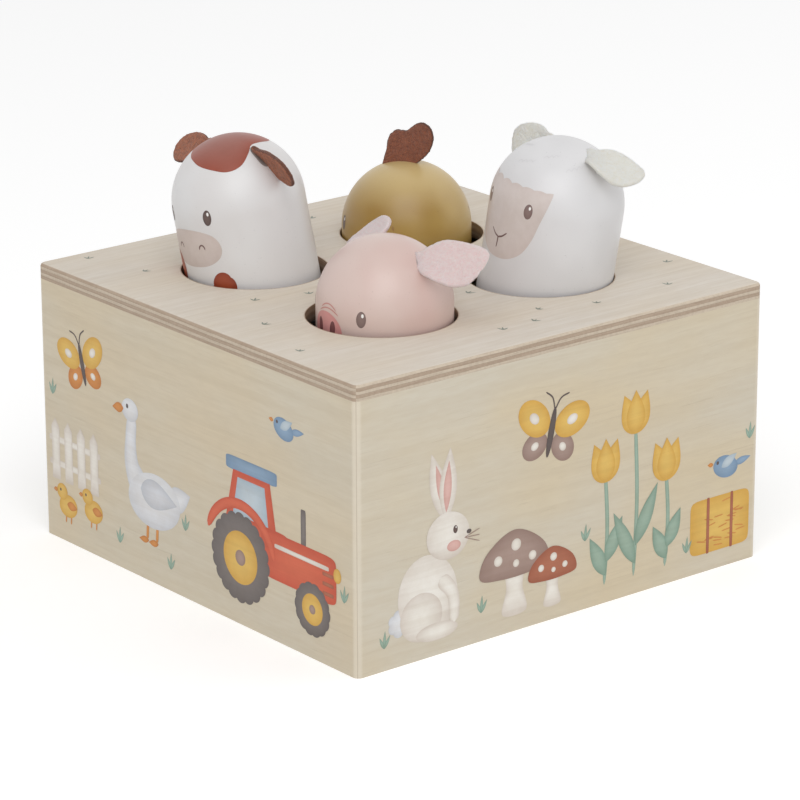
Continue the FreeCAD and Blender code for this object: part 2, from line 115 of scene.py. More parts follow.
# %% Units and colours
MM = 0.001


def tone(red, green, blue):
    """Linear colour of a swatch: each channel c is ((c + 0.055) / 1.055) ^ 2.4 above a small step."""
    swatch = np.array((red, green, blue)) / 255
    return np.where(swatch > 0.04045, ((swatch + 0.055) / 1.055) ** 2.4, swatch / 12.92)


def smooth_step(low, high, value):
    """0 below low, 1 above high, and 3 t^2 - 2 t^3 between them."""
    share = np.clip((value - low) / (high - low), 0, 1)
    return share * share * (3 - 2 * share)


print("mid grey is", tone(128, 128, 128).round(3))

# %% [markdown]
# ## Nodes in a few words
#
# A material is a graph of nodes. Two small classes make it read as a recipe: a recipe adds nodes and
# links them, and a wire is what comes out of a node, with which one can reckon as with a number.

# %% Wires and recipes
class Wire:
    """An output of a node. Reckoning with it adds Math nodes, and [name] is another output of its node."""

    def __init__(self, recipe, socket):
        self.recipe, self.socket = recipe, socket

    def __getitem__(self, name):
        return Wire(self.recipe, self.socket.node.outputs[name])

    def __add__(self, other):
        return self.recipe.math("ADD", self, other)

    def __sub__(self, other):
        return self.recipe.math("SUBTRACT", self, other)

    def __rsub__(self, other):
        return self.recipe.math("SUBTRACT", other, self)

    def __mul__(self, other):
        return self.recipe.math("MULTIPLY", self, other)

    def __truediv__(self, other):
        return self.recipe.math("DIVIDE", self, other)

    def __abs__(self):
        return self.recipe.math("ABSOLUTE", self)


class Recipe:
    """Adds nodes to a node tree. A socket is fed by a wire, a number, or a colour as an array."""

    def __init__(self, tree):
        self.tree = tree

    def feed(self, socket, value):
        """Links a wire to a socket, or sets the socket's own value."""
        if isinstance(value, Wire):
            self.tree.links.new(value.socket, socket)
        else:
            socket.default_value = (*value, 1) if isinstance(value, np.ndarray) else value

    def add(self, kind, inputs=None, **settings):
        """A node's first output. inputs maps the name or number of a socket to what feeds it."""
        node = self.tree.nodes.new("ShaderNode" + kind)
        for key, value in settings.items():
            setattr(node, key, value)
        for key, value in (inputs or {}).items():
            self.feed(node.inputs[key], value)
        return Wire(self, node.outputs[0])

    def group(self, name, **inputs):
        """A node group, with its inputs by name."""
        return self.add("Group", inputs, node_tree=bpy.data.node_groups[name])

    def math(self, operation, *values):
        """The result of a Math node."""
        return self.add("Math", dict(enumerate(values)), operation=operation)

    def mix(self, share, first, second, blend="MIX"):
        """A colour between first and second."""
        return self.add("Mix", {0: share, 6: first, 7: second}, data_type="RGBA", blend_type=blend)[2]

    def step(self, value, low, high):
        """0 where value is below low, 1 above high, smooth between them."""
        return self.add("MapRange", {"Value": value, "From Min": low, "From Max": high},
                        interpolation_type="SMOOTHSTEP")

    def turned(self, vector, *angles):
        """A place turned about X, Y and Z."""
        return self.add("Mapping", {"Vector": vector, "Rotation": angles})

    def noise(self, vector, scale, detail=3.0, roughness=0.5, distortion=0.0):
        """A noise value round 0.5. Three scales stretch it along the axes."""
        if isinstance(scale, tuple):
            vector, scale = self.add("Mapping", {"Vector": vector, "Scale": scale}), 1.0
        return self.add("TexNoise", {"Vector": vector, "Scale": scale, "Detail": detail,
                                     "Roughness": roughness, "Distortion": distortion})


class Finish(Recipe):
    """The recipe of a material. point is the place of each point, in metres."""

    def __init__(self, name):
        self.material = bpy.data.materials.new(name)
        self.material.use_nodes = True
        super().__init__(self.material.node_tree)
        self.shader = self.tree.nodes["Principled BSDF"]
        self.point = self.add("TexCoord")["Object"]

    def own(self, **values):
        """Sets the shader's own sockets, by name with spaces written as underscores."""
        for name, value in values.items():
            self.shader.inputs[name.replace("_", " ")].default_value = value

    def finish(self, color, roughness, height, strength=0.3, distance=0.1, **values):
        """The finished material. height makes bumps of distance mm, and values go to own."""
        bump = self.add("Bump", {"Strength": strength, "Distance": distance * MM, "Height": height})
        for socket, value in (("Base Color", color), ("Roughness", roughness), ("Normal", bump)):
            self.feed(self.shader.inputs[socket], value)
        self.own(**values)
        return self.material


def new_group(name, inputs, outputs):
    """An empty node group with its sockets. inputs and outputs map a name to Float, Vector or Color."""
    tree = bpy.data.node_groups.new(name, "ShaderNodeTree")
    for direction, sockets in (("INPUT", inputs), ("OUTPUT", outputs)):
        for socket, kind in sockets.items():
            tree.interface.new_socket(socket, in_out=direction, socket_type="NodeSocket" + kind)
    recipe = Recipe(tree)
    source = Wire(recipe, tree.nodes.new("NodeGroupInput").outputs[0])
    return recipe, source, tree.nodes.new("NodeGroupOutput").inputs


print("recipes are ready")

# %% [markdown]
# ## Wood grain
#
# Grain is one noise stretched along the board, because wood cells are long and thin. A slower noise
# bends it, as growth does, and a finer one cuts the open pores. All wood in the toy shares this group,
# and only the scales and the tones differ.

# %% The grain group
grain, source, target = new_group(
    "wood grain", {"Vector": "Vector", "Along": "Float", "Across": "Float"},
    {"Figure": "Float", "Pores": "Float"})
parts = grain.add("SeparateXYZ", {0: source["Vector"]})
sway = (grain.noise(source["Vector"], 14.0, detail=1.0) - 0.5) * 0.004
stretched = grain.add("CombineXYZ", {
    "X": parts["X"] * source["Along"],
    "Y": (parts["Y"] + sway) * source["Across"],
    "Z": (parts["Z"] + sway) * source["Across"],
})
fine = grain.noise(stretched, 5.0, detail=2.0)
grain.feed(target["Figure"], grain.noise(stretched, 1.0, detail=5.0, roughness=0.62))
grain.feed(target["Pores"], grain.step(fine, 0.60, 0.74))
print("group", grain.tree.name, "has", len(grain.tree.nodes), "nodes")

# %% [markdown]
# ## Plywood
#
# Plywood's face is a pale veneer with quiet grain. Its edge shows the plies, which turn a quarter at
# each layer: pale where a ply's grain runs along the edge, brown where it runs into it, with dark glue
# lines between. So the edges along X and along Y show the same plies with pale and brown changed
# round, and a second group draws both from the depth below the face. All five plies are equally
# thick.

# %% The ply group
GLUE_LINE = tone(128, 104, 82)
PLIES = 5
PALE_PLY = (205, 190, 170)
BROWN_PLY = (180, 160, 140)
GLUED_PLY = (160, 140, 120)


def ply_stops(first, second):
    """A board's plies by depth: equally thick, first and second in turn, with dark glue between them."""
    stops = []
    for ply in range(PLIES):
        swatch = second if ply % 2 else first
        for share, color in ((0.1, swatch), (0.9, swatch), (1, GLUED_PLY)):
            stops.append(((ply + share) / PLIES, color))
    return stops[:-1]


EDGE_ALONG = ply_stops(PALE_PLY, BROWN_PLY)
EDGE_ACROSS = ply_stops(BROWN_PLY, PALE_PLY)


def ply_colors(recipe, share, stops):
    """Colours by depth: a ramp through stops of (share of the thickness, swatch)."""
    color = recipe.add("ValToRGB", {0: share})
    ramp = color.socket.node.color_ramp
    for place, _ in stops[2:]:
        ramp.elements.new(place)
    for element, (place, swatch) in zip(ramp.elements, stops):
        element.position = place
        element.color = (*tone(*swatch), 1)
    return color


plies, source, target = new_group(
    "plies", {"Vector": "Vector", "Depth": "Float", "Thickness": "Float", "Across": "Float"},
    {"Color": "Color", "Height": "Float"})
waver = plies.noise(source["Vector"], 60.0, detail=2.0) - 0.5
share = source["Depth"] / source["Thickness"] + waver * 0.07
edge = plies.mix(source["Across"], ply_colors(plies, share, EDGE_ALONG),
                 ply_colors(plies, share, EDGE_ACROSS))
end_grain = plies.step(plies.noise(source["Vector"], 900.0, detail=2.0, roughness=0.7), 0.42, 0.62)
streak = plies.step(plies.noise(source["Vector"], (90.0, 90.0, 2600.0)), 0.38, 0.70)
for mark, depth in ((end_grain, 0.12), (streak, 0.22)):
    edge = plies.mix(mark * depth, edge, GLUE_LINE)
plies.feed(target["Color"], edge)
plies.feed(target["Height"], 1.0 - (end_grain + streak))
print("group", plies.tree.name, "has", len(EDGE_ALONG), "and", len(EDGE_ACROSS), "steps")

# %% [markdown]
# ## Boards
#
# One recipe makes every board. It is told which way the grain runs, and finds by itself where plies
# show: Object coordinates are metres from the middle of the underside, so a side panel's depth is how
# far a point lies inside the box.

# %% Materials of the boards
HALF_BOX = CAD_BOX[1][0]
PLATE_LOW, PLATE_TOP = (corner.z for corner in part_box("top_plate"))
PLATE_THICKNESS = PLATE_TOP - PLATE_LOW
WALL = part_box("left_panel")[1].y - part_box("left_panel")[0].y
HAIR = 0.05 * MM


def veneer(recipe, turn, pale, warm, streak):
    """Colour, roughness and height of a sanded veneer face: broad clouds from pale to warm, short flecks,
    and a quiet figure. turn is the grain's bearing."""
    along = recipe.turned(recipe.point, 0, 0, -turn)
    wood = recipe.group("wood grain", Vector=along, Along=9.0, Across=420.0)
    clouds = recipe.step(recipe.noise(along, (12.0, 26.0, 26.0)), 0.34, 0.68)
    flecks = recipe.step(recipe.noise(along, (150.0, 900.0, 900.0), detail=2.0), 0.35, 0.70)
    figure = recipe.step(wood["Figure"], 0.36, 0.66)
    color = recipe.mix(flecks * 0.20, recipe.mix(clouds, pale, warm), streak)
    color = recipe.mix(figure * 0.26, color, streak)
    color = recipe.mix(wood["Pores"] * 0.07, color, GLUE_LINE)
    return color, figure * 0.12 + 0.52, figure * -0.5 - wood["Pores"]


def panel_material(name, turn, pale, warm):
    """A side panel or the base board: veneer faces, paler at the mitre as a painted highlight of the
    rounded corner, with a thin joint in it, and plies where its edge shows at the underside."""
    recipe = Finish(name)
    color, roughness, height = veneer(recipe, turn, pale, warm, tone(196, 181, 156))
    parts = recipe.add("SeparateXYZ", {0: recipe.point})
    off_x, off_y = abs(parts["X"]), abs(parts["Y"])
    depth = HALF_BOX - recipe.math("MAXIMUM", off_x, off_y)
    layers = recipe.group("plies", Vector=recipe.point, Depth=depth, Thickness=WALL, Across=0.0)
    off_mitre = abs(off_x - off_y)
    # paler near the mitre: a painted highlight of the rounded corner
    painted_corner_highlight = 1.0 - recipe.step(off_mitre, 1.2 * MM, 2.4 * MM)
    joint = 1.0 - recipe.step(off_mitre, HAIR, 0.25 * MM)
    color = recipe.mix(painted_corner_highlight * 0.6, color, tone(224, 214, 196))
    color = recipe.mix(joint * 0.35, color, GLUE_LINE)
    edge = recipe.math("LESS_THAN", parts["Z"], HAIR) * recipe.math("LESS_THAN", depth, WALL + HAIR)
    color = recipe.mix(edge, color, layers["Color"])
    height = recipe.add("Mix", {0: edge, 2: height, 3: layers["Height"]})
    return recipe.finish(color, roughness, height, strength=0.25)


panel_x = panel_material("plywood grain along X", 0.0, tone(210, 202, 185), tone(212, 197, 168))
panel_y = panel_material("plywood grain along Y", math.pi / 2, tone(211, 202, 183), tone(214, 199, 172))
print("wall", round(WALL / MM, 2), "mm, plate", round(PLATE_THICKNESS / MM, 2), "mm")

# %% [markdown]
# ## The top plate
#
# The plate's rim is rounded over and shows its plies. The holes are cut with a hot beam, which browns
# their walls, and they turn darker deeper in a hole: painted shade. All four holes mirror each other,
# so one distance serves them: fold the plate twice with absolute values, and measure from the one hole
# that is left.

# %% Material of the plate
HOLE_MIDDLE = 31.5 * MM
HOLE_RADIUS = 23.0 * MM
SCORCH = tone(158, 132, 106)
SCORCH_IN_PAINTED_SHADE = tone(70, 52, 42)


def plate_material():
    """The top plate: veneer on top, plies at the rim, and scorched plies in the holes with painted shade
    deep down.
    """
    recipe = Finish("plywood plate")
    color, roughness, height = veneer(recipe, 0.0, tone(216, 208, 197), tone(214, 202, 184),
                                      tone(197, 183, 164))
    parts = recipe.add("SeparateXYZ", {0: recipe.point})
    off_x, off_y = abs(parts["X"]), abs(parts["Y"])
    depth = PLATE_TOP - parts["Z"]
    layers = recipe.group("plies", Vector=recipe.point, Depth=depth, Thickness=PLATE_THICKNESS,
                          Across=recipe.math("GREATER_THAN", off_x, off_y))
    offset = recipe.add("CombineXYZ", {"X": off_x - HOLE_MIDDLE, "Y": off_y - HOLE_MIDDLE})
    radius = recipe.add("VectorMath", {0: offset}, operation="LENGTH")["Value"]
    in_hole = 1.0 - recipe.step(radius, HOLE_RADIUS, HOLE_RADIUS + 0.5 * MM)
    below_face = recipe.step(depth, 0.12 * MM, 0.3 * MM)
    # scorch that grows darker with depth: the brown is real, the darkening is painted shade
    scorch_with_painted_shade = recipe.mix(recipe.step(depth, 0.2 * MM, PLATE_THICKNESS), SCORCH, SCORCH_IN_PAINTED_SHADE)
    color = recipe.mix(below_face, color, layers["Color"])
    color = recipe.mix(in_hole, color, recipe.mix(0.7, layers["Color"], scorch_with_painted_shade))
    height = recipe.add("Mix", {0: below_face, 2: height, 3: layers["Height"]})
    return recipe.finish(color, roughness, height)


def dress(material, *nodes):
    """Gives nodes of the frame their finish."""
    for node in nodes:
        mesh = frame["nodes"][node].data
        mesh.materials.clear()
        mesh.materials.append(material)


dress(panel_x, "left_panel", "right_panel", "base_board")
dress(panel_y, "front_panel", "back_panel")
dress(plate_material(), "top_plate")
print("holes of", HOLE_RADIUS / MM, "mm radius at", HOLE_MIDDLE / MM, "mm")

# %% [markdown]
# ## Solid wood
#
# Glue blocks are planed pine, seats and balls are turned beech. Beech shows short dark flecks, so it
# gets shorter, finer grain. Both stand upright, and their grain with them.

# %% Solid wood materials
ANIMALS = ("cow", "sheep", "pig", "hen")


def solid_wood(name, pale, dark, along, across, roughness):
    """Bare wood with its grain along Z."""
    recipe = Finish(name)
    upright = recipe.turned(recipe.point, 0, math.pi / 2, 0)
    wood = recipe.group("wood grain", Vector=upright, Along=along, Across=across)
    figure = recipe.step(wood["Figure"], 0.35, 0.66)
    color = recipe.mix(wood["Pores"] * 0.4, recipe.mix(figure, pale, dark), GLUE_LINE)
    height = (figure + wood["Pores"]) * -1.0
    return recipe.finish(color, figure * 0.1 + roughness, height, strength=0.25)


pine = solid_wood("planed pine", tone(226, 201, 158), tone(206, 168, 116), 8.0, 420.0, 0.55)
beech = solid_wood("turned beech", tone(214, 180, 142), tone(190, 150, 112), 40.0, 600.0, 0.42)
dress(pine, "corner_blocks")
for animal in ANIMALS:
    dress(beech, animal + "_spring_seat", animal + "_ball")
print("bare wood on", 1 + 2 * len(ANIMALS), "nodes")

# %% [markdown]
# ## Steel
#
# Screws are zinc plated and springs are drawn wire. Both are fully metallic, so their colour is their
# reflection. Drawing leaves fine scratches, which a small noise in the roughness stands for.

# %% Steel materials
def steel(name, color, roughness, spread):
    """Metal with a cloudy roughness."""
    recipe = Finish(name)
    clouds = recipe.noise(recipe.point, 900.0)
    scratches = recipe.noise(recipe.point, (300.0, 300.0, 4000.0), detail=2.0)
    tint = recipe.mix(recipe.step(clouds, 0.3, 0.7), color, color * 0.8)
    return recipe.finish(tint, clouds * spread + roughness, scratches, strength=0.15, distance=0.03,
                         Metallic=1.0)


spring_wire = steel("spring wire", tone(196, 196, 200), 0.22, 0.2)
dress(steel("zinc plated steel", tone(206, 206, 202), 0.28, 0.25), "base_screws", "seat_screws")
print("two kinds of steel")

# %% [markdown]
# ## Where each animal stands
#
# The joints tell where each peg is: its axis, and the middle of the ball that it turns on. The hen
# stands upright, so its box gives the peg's radius and how far the ball is above the peg's foot. A
# leaning peg's highest point is its head's middle plus the radius, which gives its length.

# %% Read the pegs from the frame
JOINTS = {joint["name"]: joint for joint in frame["joints"]}
hen_low, hen_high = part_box("hen_peg")
PEG_RADIUS = (hen_high.x - hen_low.x) / 2 / MM
BALL_ABOVE_FOOT = JOINTS["hen_turn"]["pos_m"][2] / MM - hen_low.z / MM


def leaning(axis):
    """The shortest turn that takes Z to an axis."""
    return Vector((0, 0, 1)).rotation_difference(Vector(axis)).to_matrix()


class Stand:
    """A peg's own frame in millimetres: origin at the middle of its foot, Z along it, face to -X."""

    def __init__(self, animal, turn=0.0):
        joint = JOINTS[animal + "_turn"]
        self.axis = np.array(joint["axis"]) / np.linalg.norm(joint["axis"])
        self.ball = np.array(joint["pos_m"]) / MM
        self.foot = self.ball - self.axis * BALL_ABOVE_FOOT
        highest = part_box(animal + "_peg")[1].z / MM
        self.head = (highest - PEG_RADIUS - self.foot[2]) / self.axis[2]
        self.turn = np.array(leaning(self.axis) @ Matrix.Rotation(math.radians(turn), 3, "Z"))

    def place(self, points):
        """Points of the peg's frame, put into the toy's frame."""
        return points @ self.turn.T + self.foot


STANDS = {animal: Stand(animal) for animal in ANIMALS}
for animal, stand in STANDS.items():
    print(animal, "peg is", round(stand.head + PEG_RADIUS, 1), "mm long")

# %% [markdown]
# ## Surfaces from arrays
#
# Every new piece is a grid of points: a formula of two parameters, worked out for all points at once.
# The grid's rows and columns give the faces, points that fall together at seams and poles are merged,
# and the faces are then turned outwards.

# %% Grids into pieces
def grid_faces(rows, columns, start=0):
    """Corner numbers of a grid's quads. Point (r, c) has the number start + r * columns + c."""
    row, column = np.meshgrid(np.arange(rows - 1), np.arange(columns - 1), indexing="ij")
    corner = start + row * columns + column
    return np.stack([corner, corner + 1, corner + columns + 1, corner + columns], axis=-1).reshape(-1, 4)


def make_piece(name, points, faces, materials, body, slots=None, closed=True, sharp=40.0, marks=None):
    """A piece from points in mm and quads. slots gives each face's material. marks maps the name of an
    attribute to its values, a colour or a number at each point."""
    mesh = bpy.data.meshes.new(name)
    mesh.from_pydata((np.asarray(points).reshape(-1, 3) * MM).tolist(), [], np.asarray(faces).tolist())
    for material in materials:
        mesh.materials.append(material)
    if slots is not None:
        mesh.polygons.foreach_set("material_index", slots)
    for mark, values in (marks or {}).items():
        if values.ndim == 2:
            layer = mesh.color_attributes.new(mark, "FLOAT_COLOR", "POINT")
            layer.data.foreach_set("color", np.c_[values, np.ones(len(values))].ravel())
        else:
            mesh.attributes.new(mark, "FLOAT", "POINT").data.foreach_set("value", values)
    shape = bmesh.new()
    shape.from_mesh(mesh)
    bmesh.ops.remove_doubles(shape, verts=shape.verts, dist=0.0005 * MM)
    if closed:
        bmesh.ops.recalc_face_normals(shape, faces=shape.faces)
    shape.to_mesh(mesh)
    shape.free()
    mesh.shade_smooth()
    mesh.set_sharp_from_angle(angle=math.radians(sharp))
    piece = bpy.data.objects.new(name, mesh)
    bpy.context.scene.collection.objects.link(piece)
    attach(piece, body)
    return piece


print("one grid of 3 by 4 points has", len(grid_faces(3, 4)), "quads")

# %% [markdown]
# ## Satin paint
#
# The pegs are sprayed with a satin paint. It hides the grain, so its detail is quiet: a faint orange
# peel in the bump, a slow drift of tone, and a soft sheen. Fine dust that dried into the last coat
# shows as tiny dark specks.

# %% Paint material
PAINTED_HIGHLIGHT_HEIGHTS = (0.101, 0.113)


def paint(name, color, shade, painted_top_highlight=None):
    """Satin paint that drifts from color to shade. A last colour gives a painted highlight over the head.
    """
    recipe = Finish(name)
    drift = recipe.step(recipe.noise(recipe.point, 45.0, detail=2.0), 0.3, 0.7)
    dust = recipe.step(recipe.noise(recipe.point, 1700.0, detail=1.0), 0.72, 0.80)
    tint = recipe.mix(drift, color, shade)
    # a paler top of the head: a painted highlight
    if painted_top_highlight is not None:
        height = recipe.add("SeparateXYZ", {"Vector": recipe.point})["Z"]
        tint = recipe.mix(recipe.step(height, *PAINTED_HIGHLIGHT_HEIGHTS), tint, painted_top_highlight)
    tint = recipe.mix(dust * 0.35, tint, shade * 0.6)
    peel = recipe.noise(recipe.point, 900.0, detail=2.0)
    rough = recipe.noise(recipe.point, 120.0) * 0.10 + 0.36
    return recipe.finish(tint, rough, peel, strength=0.06, Coat_Weight=0.25, Coat_Roughness=0.3)


PAINTS = {
    "cow": ("white_paint", paint("cow white", tone(222, 221, 221), tone(216, 213, 212))),
    "sheep": ("white_paint", paint("wool white", tone(221, 220, 221), tone(214, 213, 214))),
    "pig": ("pink_paint", paint("pig pink", tone(213, 191, 183), tone(207, 178, 170))),
    # the hen's third colour is a painted highlight on the top of its head
    "hen": ("ochre_paint",
            paint("hen ochre", tone(176, 146, 78), tone(156, 122, 56), tone(198, 173, 120))),
}
print("paints:", ", ".join(PAINTS))

# %% [markdown]
# ## Turned pegs
#
# A peg is turned on a lathe, so its surface is a profile carried round an axis. The profile starts at
# the pointed end of the bore, comes down the bore's wall, rounds the foot and climbs to the top of the
# round head. Its first stretch is bare wood, and the rest is painted. The mesh replaces the peg's
# solid because its finer steps keep the highlight on the head unbroken.

# %% Turn the pegs
BORE_RADIUS = 16.0
BORE_DEPTH = 26.0
DRILL_POINT = math.radians(118)
FOOT_CHAMFER = 0.8
LATHE_STEPS = 193


def peg_profile(stand):
    """Radius and height along a peg's outline, and how many of its points are bare wood.
    The head is the quarter circle (R cos a, head + R sin a)."""
    apex = BORE_DEPTH + BORE_RADIUS / math.tan(DRILL_POINT / 2)
    bore = np.array([(0, apex), (BORE_RADIUS, BORE_DEPTH), (BORE_RADIUS, FOOT_CHAMFER / 2),
                     (BORE_RADIUS + FOOT_CHAMFER / 2, 0), (PEG_RADIUS - FOOT_CHAMFER, 0)])
    side = np.linspace(FOOT_CHAMFER, stand.head, 30, endpoint=False)
    angle = np.linspace(0, math.pi / 2, 60)
    wall = np.stack([np.full_like(side, PEG_RADIUS), side], axis=1)
    dome = np.stack([PEG_RADIUS * np.cos(angle), stand.head + PEG_RADIUS * np.sin(angle)], axis=1)
    return np.concatenate([bore, wall, dome]), len(bore)


def revolve(profile, steps):
    """The profile's points (r, z) carried round: (r cos t, r sin t, z) for t over a full turn."""
    turn = np.linspace(0, 2 * math.pi, steps)
    radius, height = profile[:, :1], profile[:, 1:]
    return np.stack([radius * np.cos(turn), radius * np.sin(turn), height + 0 * turn], axis=-1)


for animal, stand in STANDS.items():
    profile, bare = peg_profile(stand)
    points = stand.place(revolve(profile, LATHE_STEPS))
    faces = grid_faces(len(profile), LATHE_STEPS)
    is_bare = np.arange(len(faces)) < (bare - 1) * (LATHE_STEPS - 1)
    slot, colour = PAINTS[animal]
    piece = make_piece(animal + "_turned_peg", points, faces, [colour, beech], animal + "_animal",
                       slots=is_bare.astype(np.int32))
    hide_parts(animal + "_peg")
    print(piece.name, len(piece.data.polygons), "faces")

# %% [markdown]
# ## Ink and brush strokes
#
# The faces on the pegs and the pictures on the panels are printed. A stroke is a flat grid in
# millimetres, drawn on paper first, with a colour at each point. A picture is a pile of strokes, and
# each lies a hundredth of a millimetre above the one before it, so later ink covers earlier ink. A
# surface function then lays the paper on a panel or bends it round a peg.

# %% A picture made of strokes
INK_LIFT = 0.03
INK_STEP = 0.01


class Picture:
    """Strokes of ink. move sets where the next ones go."""

    def __init__(self):
        self.points, self.faces, self.colors, self.laid = [], [], [], []
        self.count = 0
        self.move()

    def move(self, x=0.0, y=0.0):
        """The next strokes are moved by (x, y)."""
        self.shift = np.array((x, y))
        return self

    def grid(self, spots, color):
        """A stroke from an array of rows by columns of places, with a colour at each. It lies one step
        above the highest stroke that its bounding box meets."""
        rows, columns, _ = spots.shape
        spots = (spots + self.shift).reshape(-1, 2)
        low, high = spots.min(0), spots.max(0)
        below = [level for least, most, level in self.laid if (low < most).all() and (high > least).all()]
        level = max(below, default=-1) + 1
        self.laid.append((low, high, level))
        self.faces.append(grid_faces(rows, columns, self.count))
        self.points.append(np.c_[spots, np.full(len(spots), INK_LIFT + INK_STEP * level)])
        self.colors.append(np.broadcast_to(color, (rows, columns, 3)).reshape(-1, 3))
        self.count += rows * columns

    def fill(self, outline, ink, light=None, rings=6, power=2.0):
        """Fills a closed outline. Ring t holds centre + t (outline - centre), for t from 0 to 1, and goes
        from the ink's first colour to its second as t ^ power. The upper side fades towards light."""
        ring = np.linspace(0, 1, rings)[:, None, None]
        centre = (outline.max(0) + outline.min(0)) / 2
        spots = centre + ring * (np.concatenate([outline, outline[:1]]) - centre)
        color = ink[0] + (ink[1] - ink[0]) * ring ** power + 0 * spots[..., :1]
        if light is not None:
            height = smooth_step(outline[:, 1].min(), outline[:, 1].max(), spots[..., 1:])
            color = color + (light - color) * height * 0.5
        self.grid(spots, color)

    def line(self, route, width, ink):
        """A band of ink along a route. width is one number or a few, spread evenly along the route. Half of
        it is taken times sqrt(1 - s^8) for s from -1 to 1. The ink's second colour is at both sides."""
        route = np.asarray(route, dtype=float)
        along = np.gradient(route, axis=0)
        side = np.stack([-along[:, 1], along[:, 0]], axis=1)
        side /= np.linalg.norm(side, axis=1, keepdims=True)
        share = np.linspace(0, 1, len(route))
        width = np.atleast_1d(width)
        width = np.interp(share, np.linspace(0, 1, len(width)), width)
        half = width / 2 * np.sqrt(np.clip(1 - (2 * share - 1) ** 8, 0.02, 1))
        across = np.array([-1.0, -0.5, 0.0, 0.5, 1.0])
        spots = route[:, None] + side[:, None] * (half[:, None] * across)[..., None]
        self.grid(spots, ink[0] + (ink[1] - ink[0]) * (across ** 2)[None, :, None])

    def print_on(self, name, surface, material, body, slot):
        """Makes the piece: surface turns arrays (across, up, lift) in mm into points in mm. A quad whose
        diagonals' cross product points into the wood is turned round."""
        flat, faces = np.concatenate(self.points), np.concatenate(self.faces)
        points = surface(flat[:, 0], flat[:, 1], flat[:, 2])
        outward = surface(flat[:, 0], flat[:, 1], flat[:, 2] + 1) - points
        corner = points[faces]
        normal = np.cross(corner[:, 2] - corner[:, 0], corner[:, 3] - corner[:, 1])
        inward = (normal * outward[faces[:, 0]]).sum(1) < 0
        faces[inward] = faces[inward][:, ::-1]
        return make_piece(name, points, faces, [material], body, closed=False, sharp=180.0,
                          marks={"ink": np.concatenate(self.colors)})


print("an ink layer is", INK_STEP, "mm")

# %% [markdown]
# ## Shapes for the brush
#
# Four shapes draw nearly everything: an oval, a lobed oval for curls and crowns, a leaf with a point,
# and a smooth curve through a few chosen points. Each is a formula of one angle or length and gives
# the outline's points in order.

# %% Outlines
def spin(points, degrees, middle):
    """Points turned about a middle."""
    c, s = math.cos(math.radians(degrees)), math.sin(math.radians(degrees))
    offset = points - np.array(middle)
    return offset @ np.array([[c, s], [-s, c]]) + np.array(middle)


def oval(x, y, half_wide, half_high, turn=0.0, square=2.0, points=48):
    """Superellipse: |cos t| ^ (2 / square) and |sin t| ^ (2 / square), with their signs."""
    t = np.linspace(0, 2 * math.pi, points, endpoint=False)
    c, s = np.cos(t), np.sin(t)
    shape = np.stack([x + half_wide * np.sign(c) * np.abs(c) ** (2 / square),
                      y + half_high * np.sign(s) * np.abs(s) ** (2 / square)], axis=1)
    return spin(shape, turn, (x, y))


def curls(x, y, half_wide, half_high, count, depth, turn=0.0, points=160):
    """An oval whose radius is 1 - depth + depth |cos(count t / 2)|, which gives count round lobes."""
    t = np.linspace(0, 2 * math.pi, points, endpoint=False)
    radius = 1 - depth + depth * np.abs(np.cos(count * t / 2)) ** 0.7
    shape = np.stack([x + half_wide * radius * np.cos(t), y + half_high * radius * np.sin(t)], axis=1)
    return spin(shape, turn, (x, y))


def leaf(x, y, length, wide, turn, fullness=0.8, points=40):
    """A leaf from its stalk at (x, y): half width wide / 2 sin(pi s ^ fullness), for s from 0 to 1."""
    share = np.linspace(0, 1, points // 2)
    half = wide / 2 * np.sin(math.pi * share ** fullness)
    upper = np.stack([x + length * share, y + half], axis=1)
    lower = np.stack([x + length * share, y - half], axis=1)[::-1]
    return spin(np.concatenate([lower, upper[1:-1]]), turn, (x, y))


def through(knots, closed=False, steps=12):
    """A smooth curve through knots: each span is the cubic of Catmull and Rom, p1 + u (p2 - p0) / 2 and
    so on, for u from 0 to 1."""
    knots = np.array(knots, dtype=float)
    if closed:
        ring = np.concatenate([knots[-1:], knots, knots[:2]])
    else:
        ring = np.concatenate([2 * knots[:1] - knots[1:2], knots, 2 * knots[-1:] - knots[-2:-1]])
    before, start, end, after = ring[:-3, None], ring[1:-2, None], ring[2:-1, None], ring[3:, None]
    u = np.linspace(0, 1, steps, endpoint=False)[None, :, None]
    span = (2 * start + (end - before) * u + (2 * before - 5 * start + 4 * end - after) * u ** 2
            + (3 * start - before - 3 * end + after) * u ** 3) / 2
    curve = span.reshape(-1, knots.shape[1])
    return curve if closed else np.concatenate([curve, knots[-1:]])


def straight(corners, steps=8):
    """The sides of a shape with corners, cut into steps."""
    corners = np.array(corners, dtype=float)
    after = np.roll(corners, -1, axis=0)
    share = np.linspace(0, 1, steps, endpoint=False)[None, :, None]
    return (corners[:, None] + (after - corners)[:, None] * share).reshape(-1, 2)


print("a leaf has", len(leaf(0, 0, 10, 4, 0)), "points")

# %% [markdown]
# ## Ink on wood
#
# Ink is thin, so the wood shows through it: the grain group that colours the board also darkens the
# ink a little. The colour comes from the mesh attribute that the strokes carry. On a peg there is no
# grain under the paint, so its ink only gets a fine speckle.

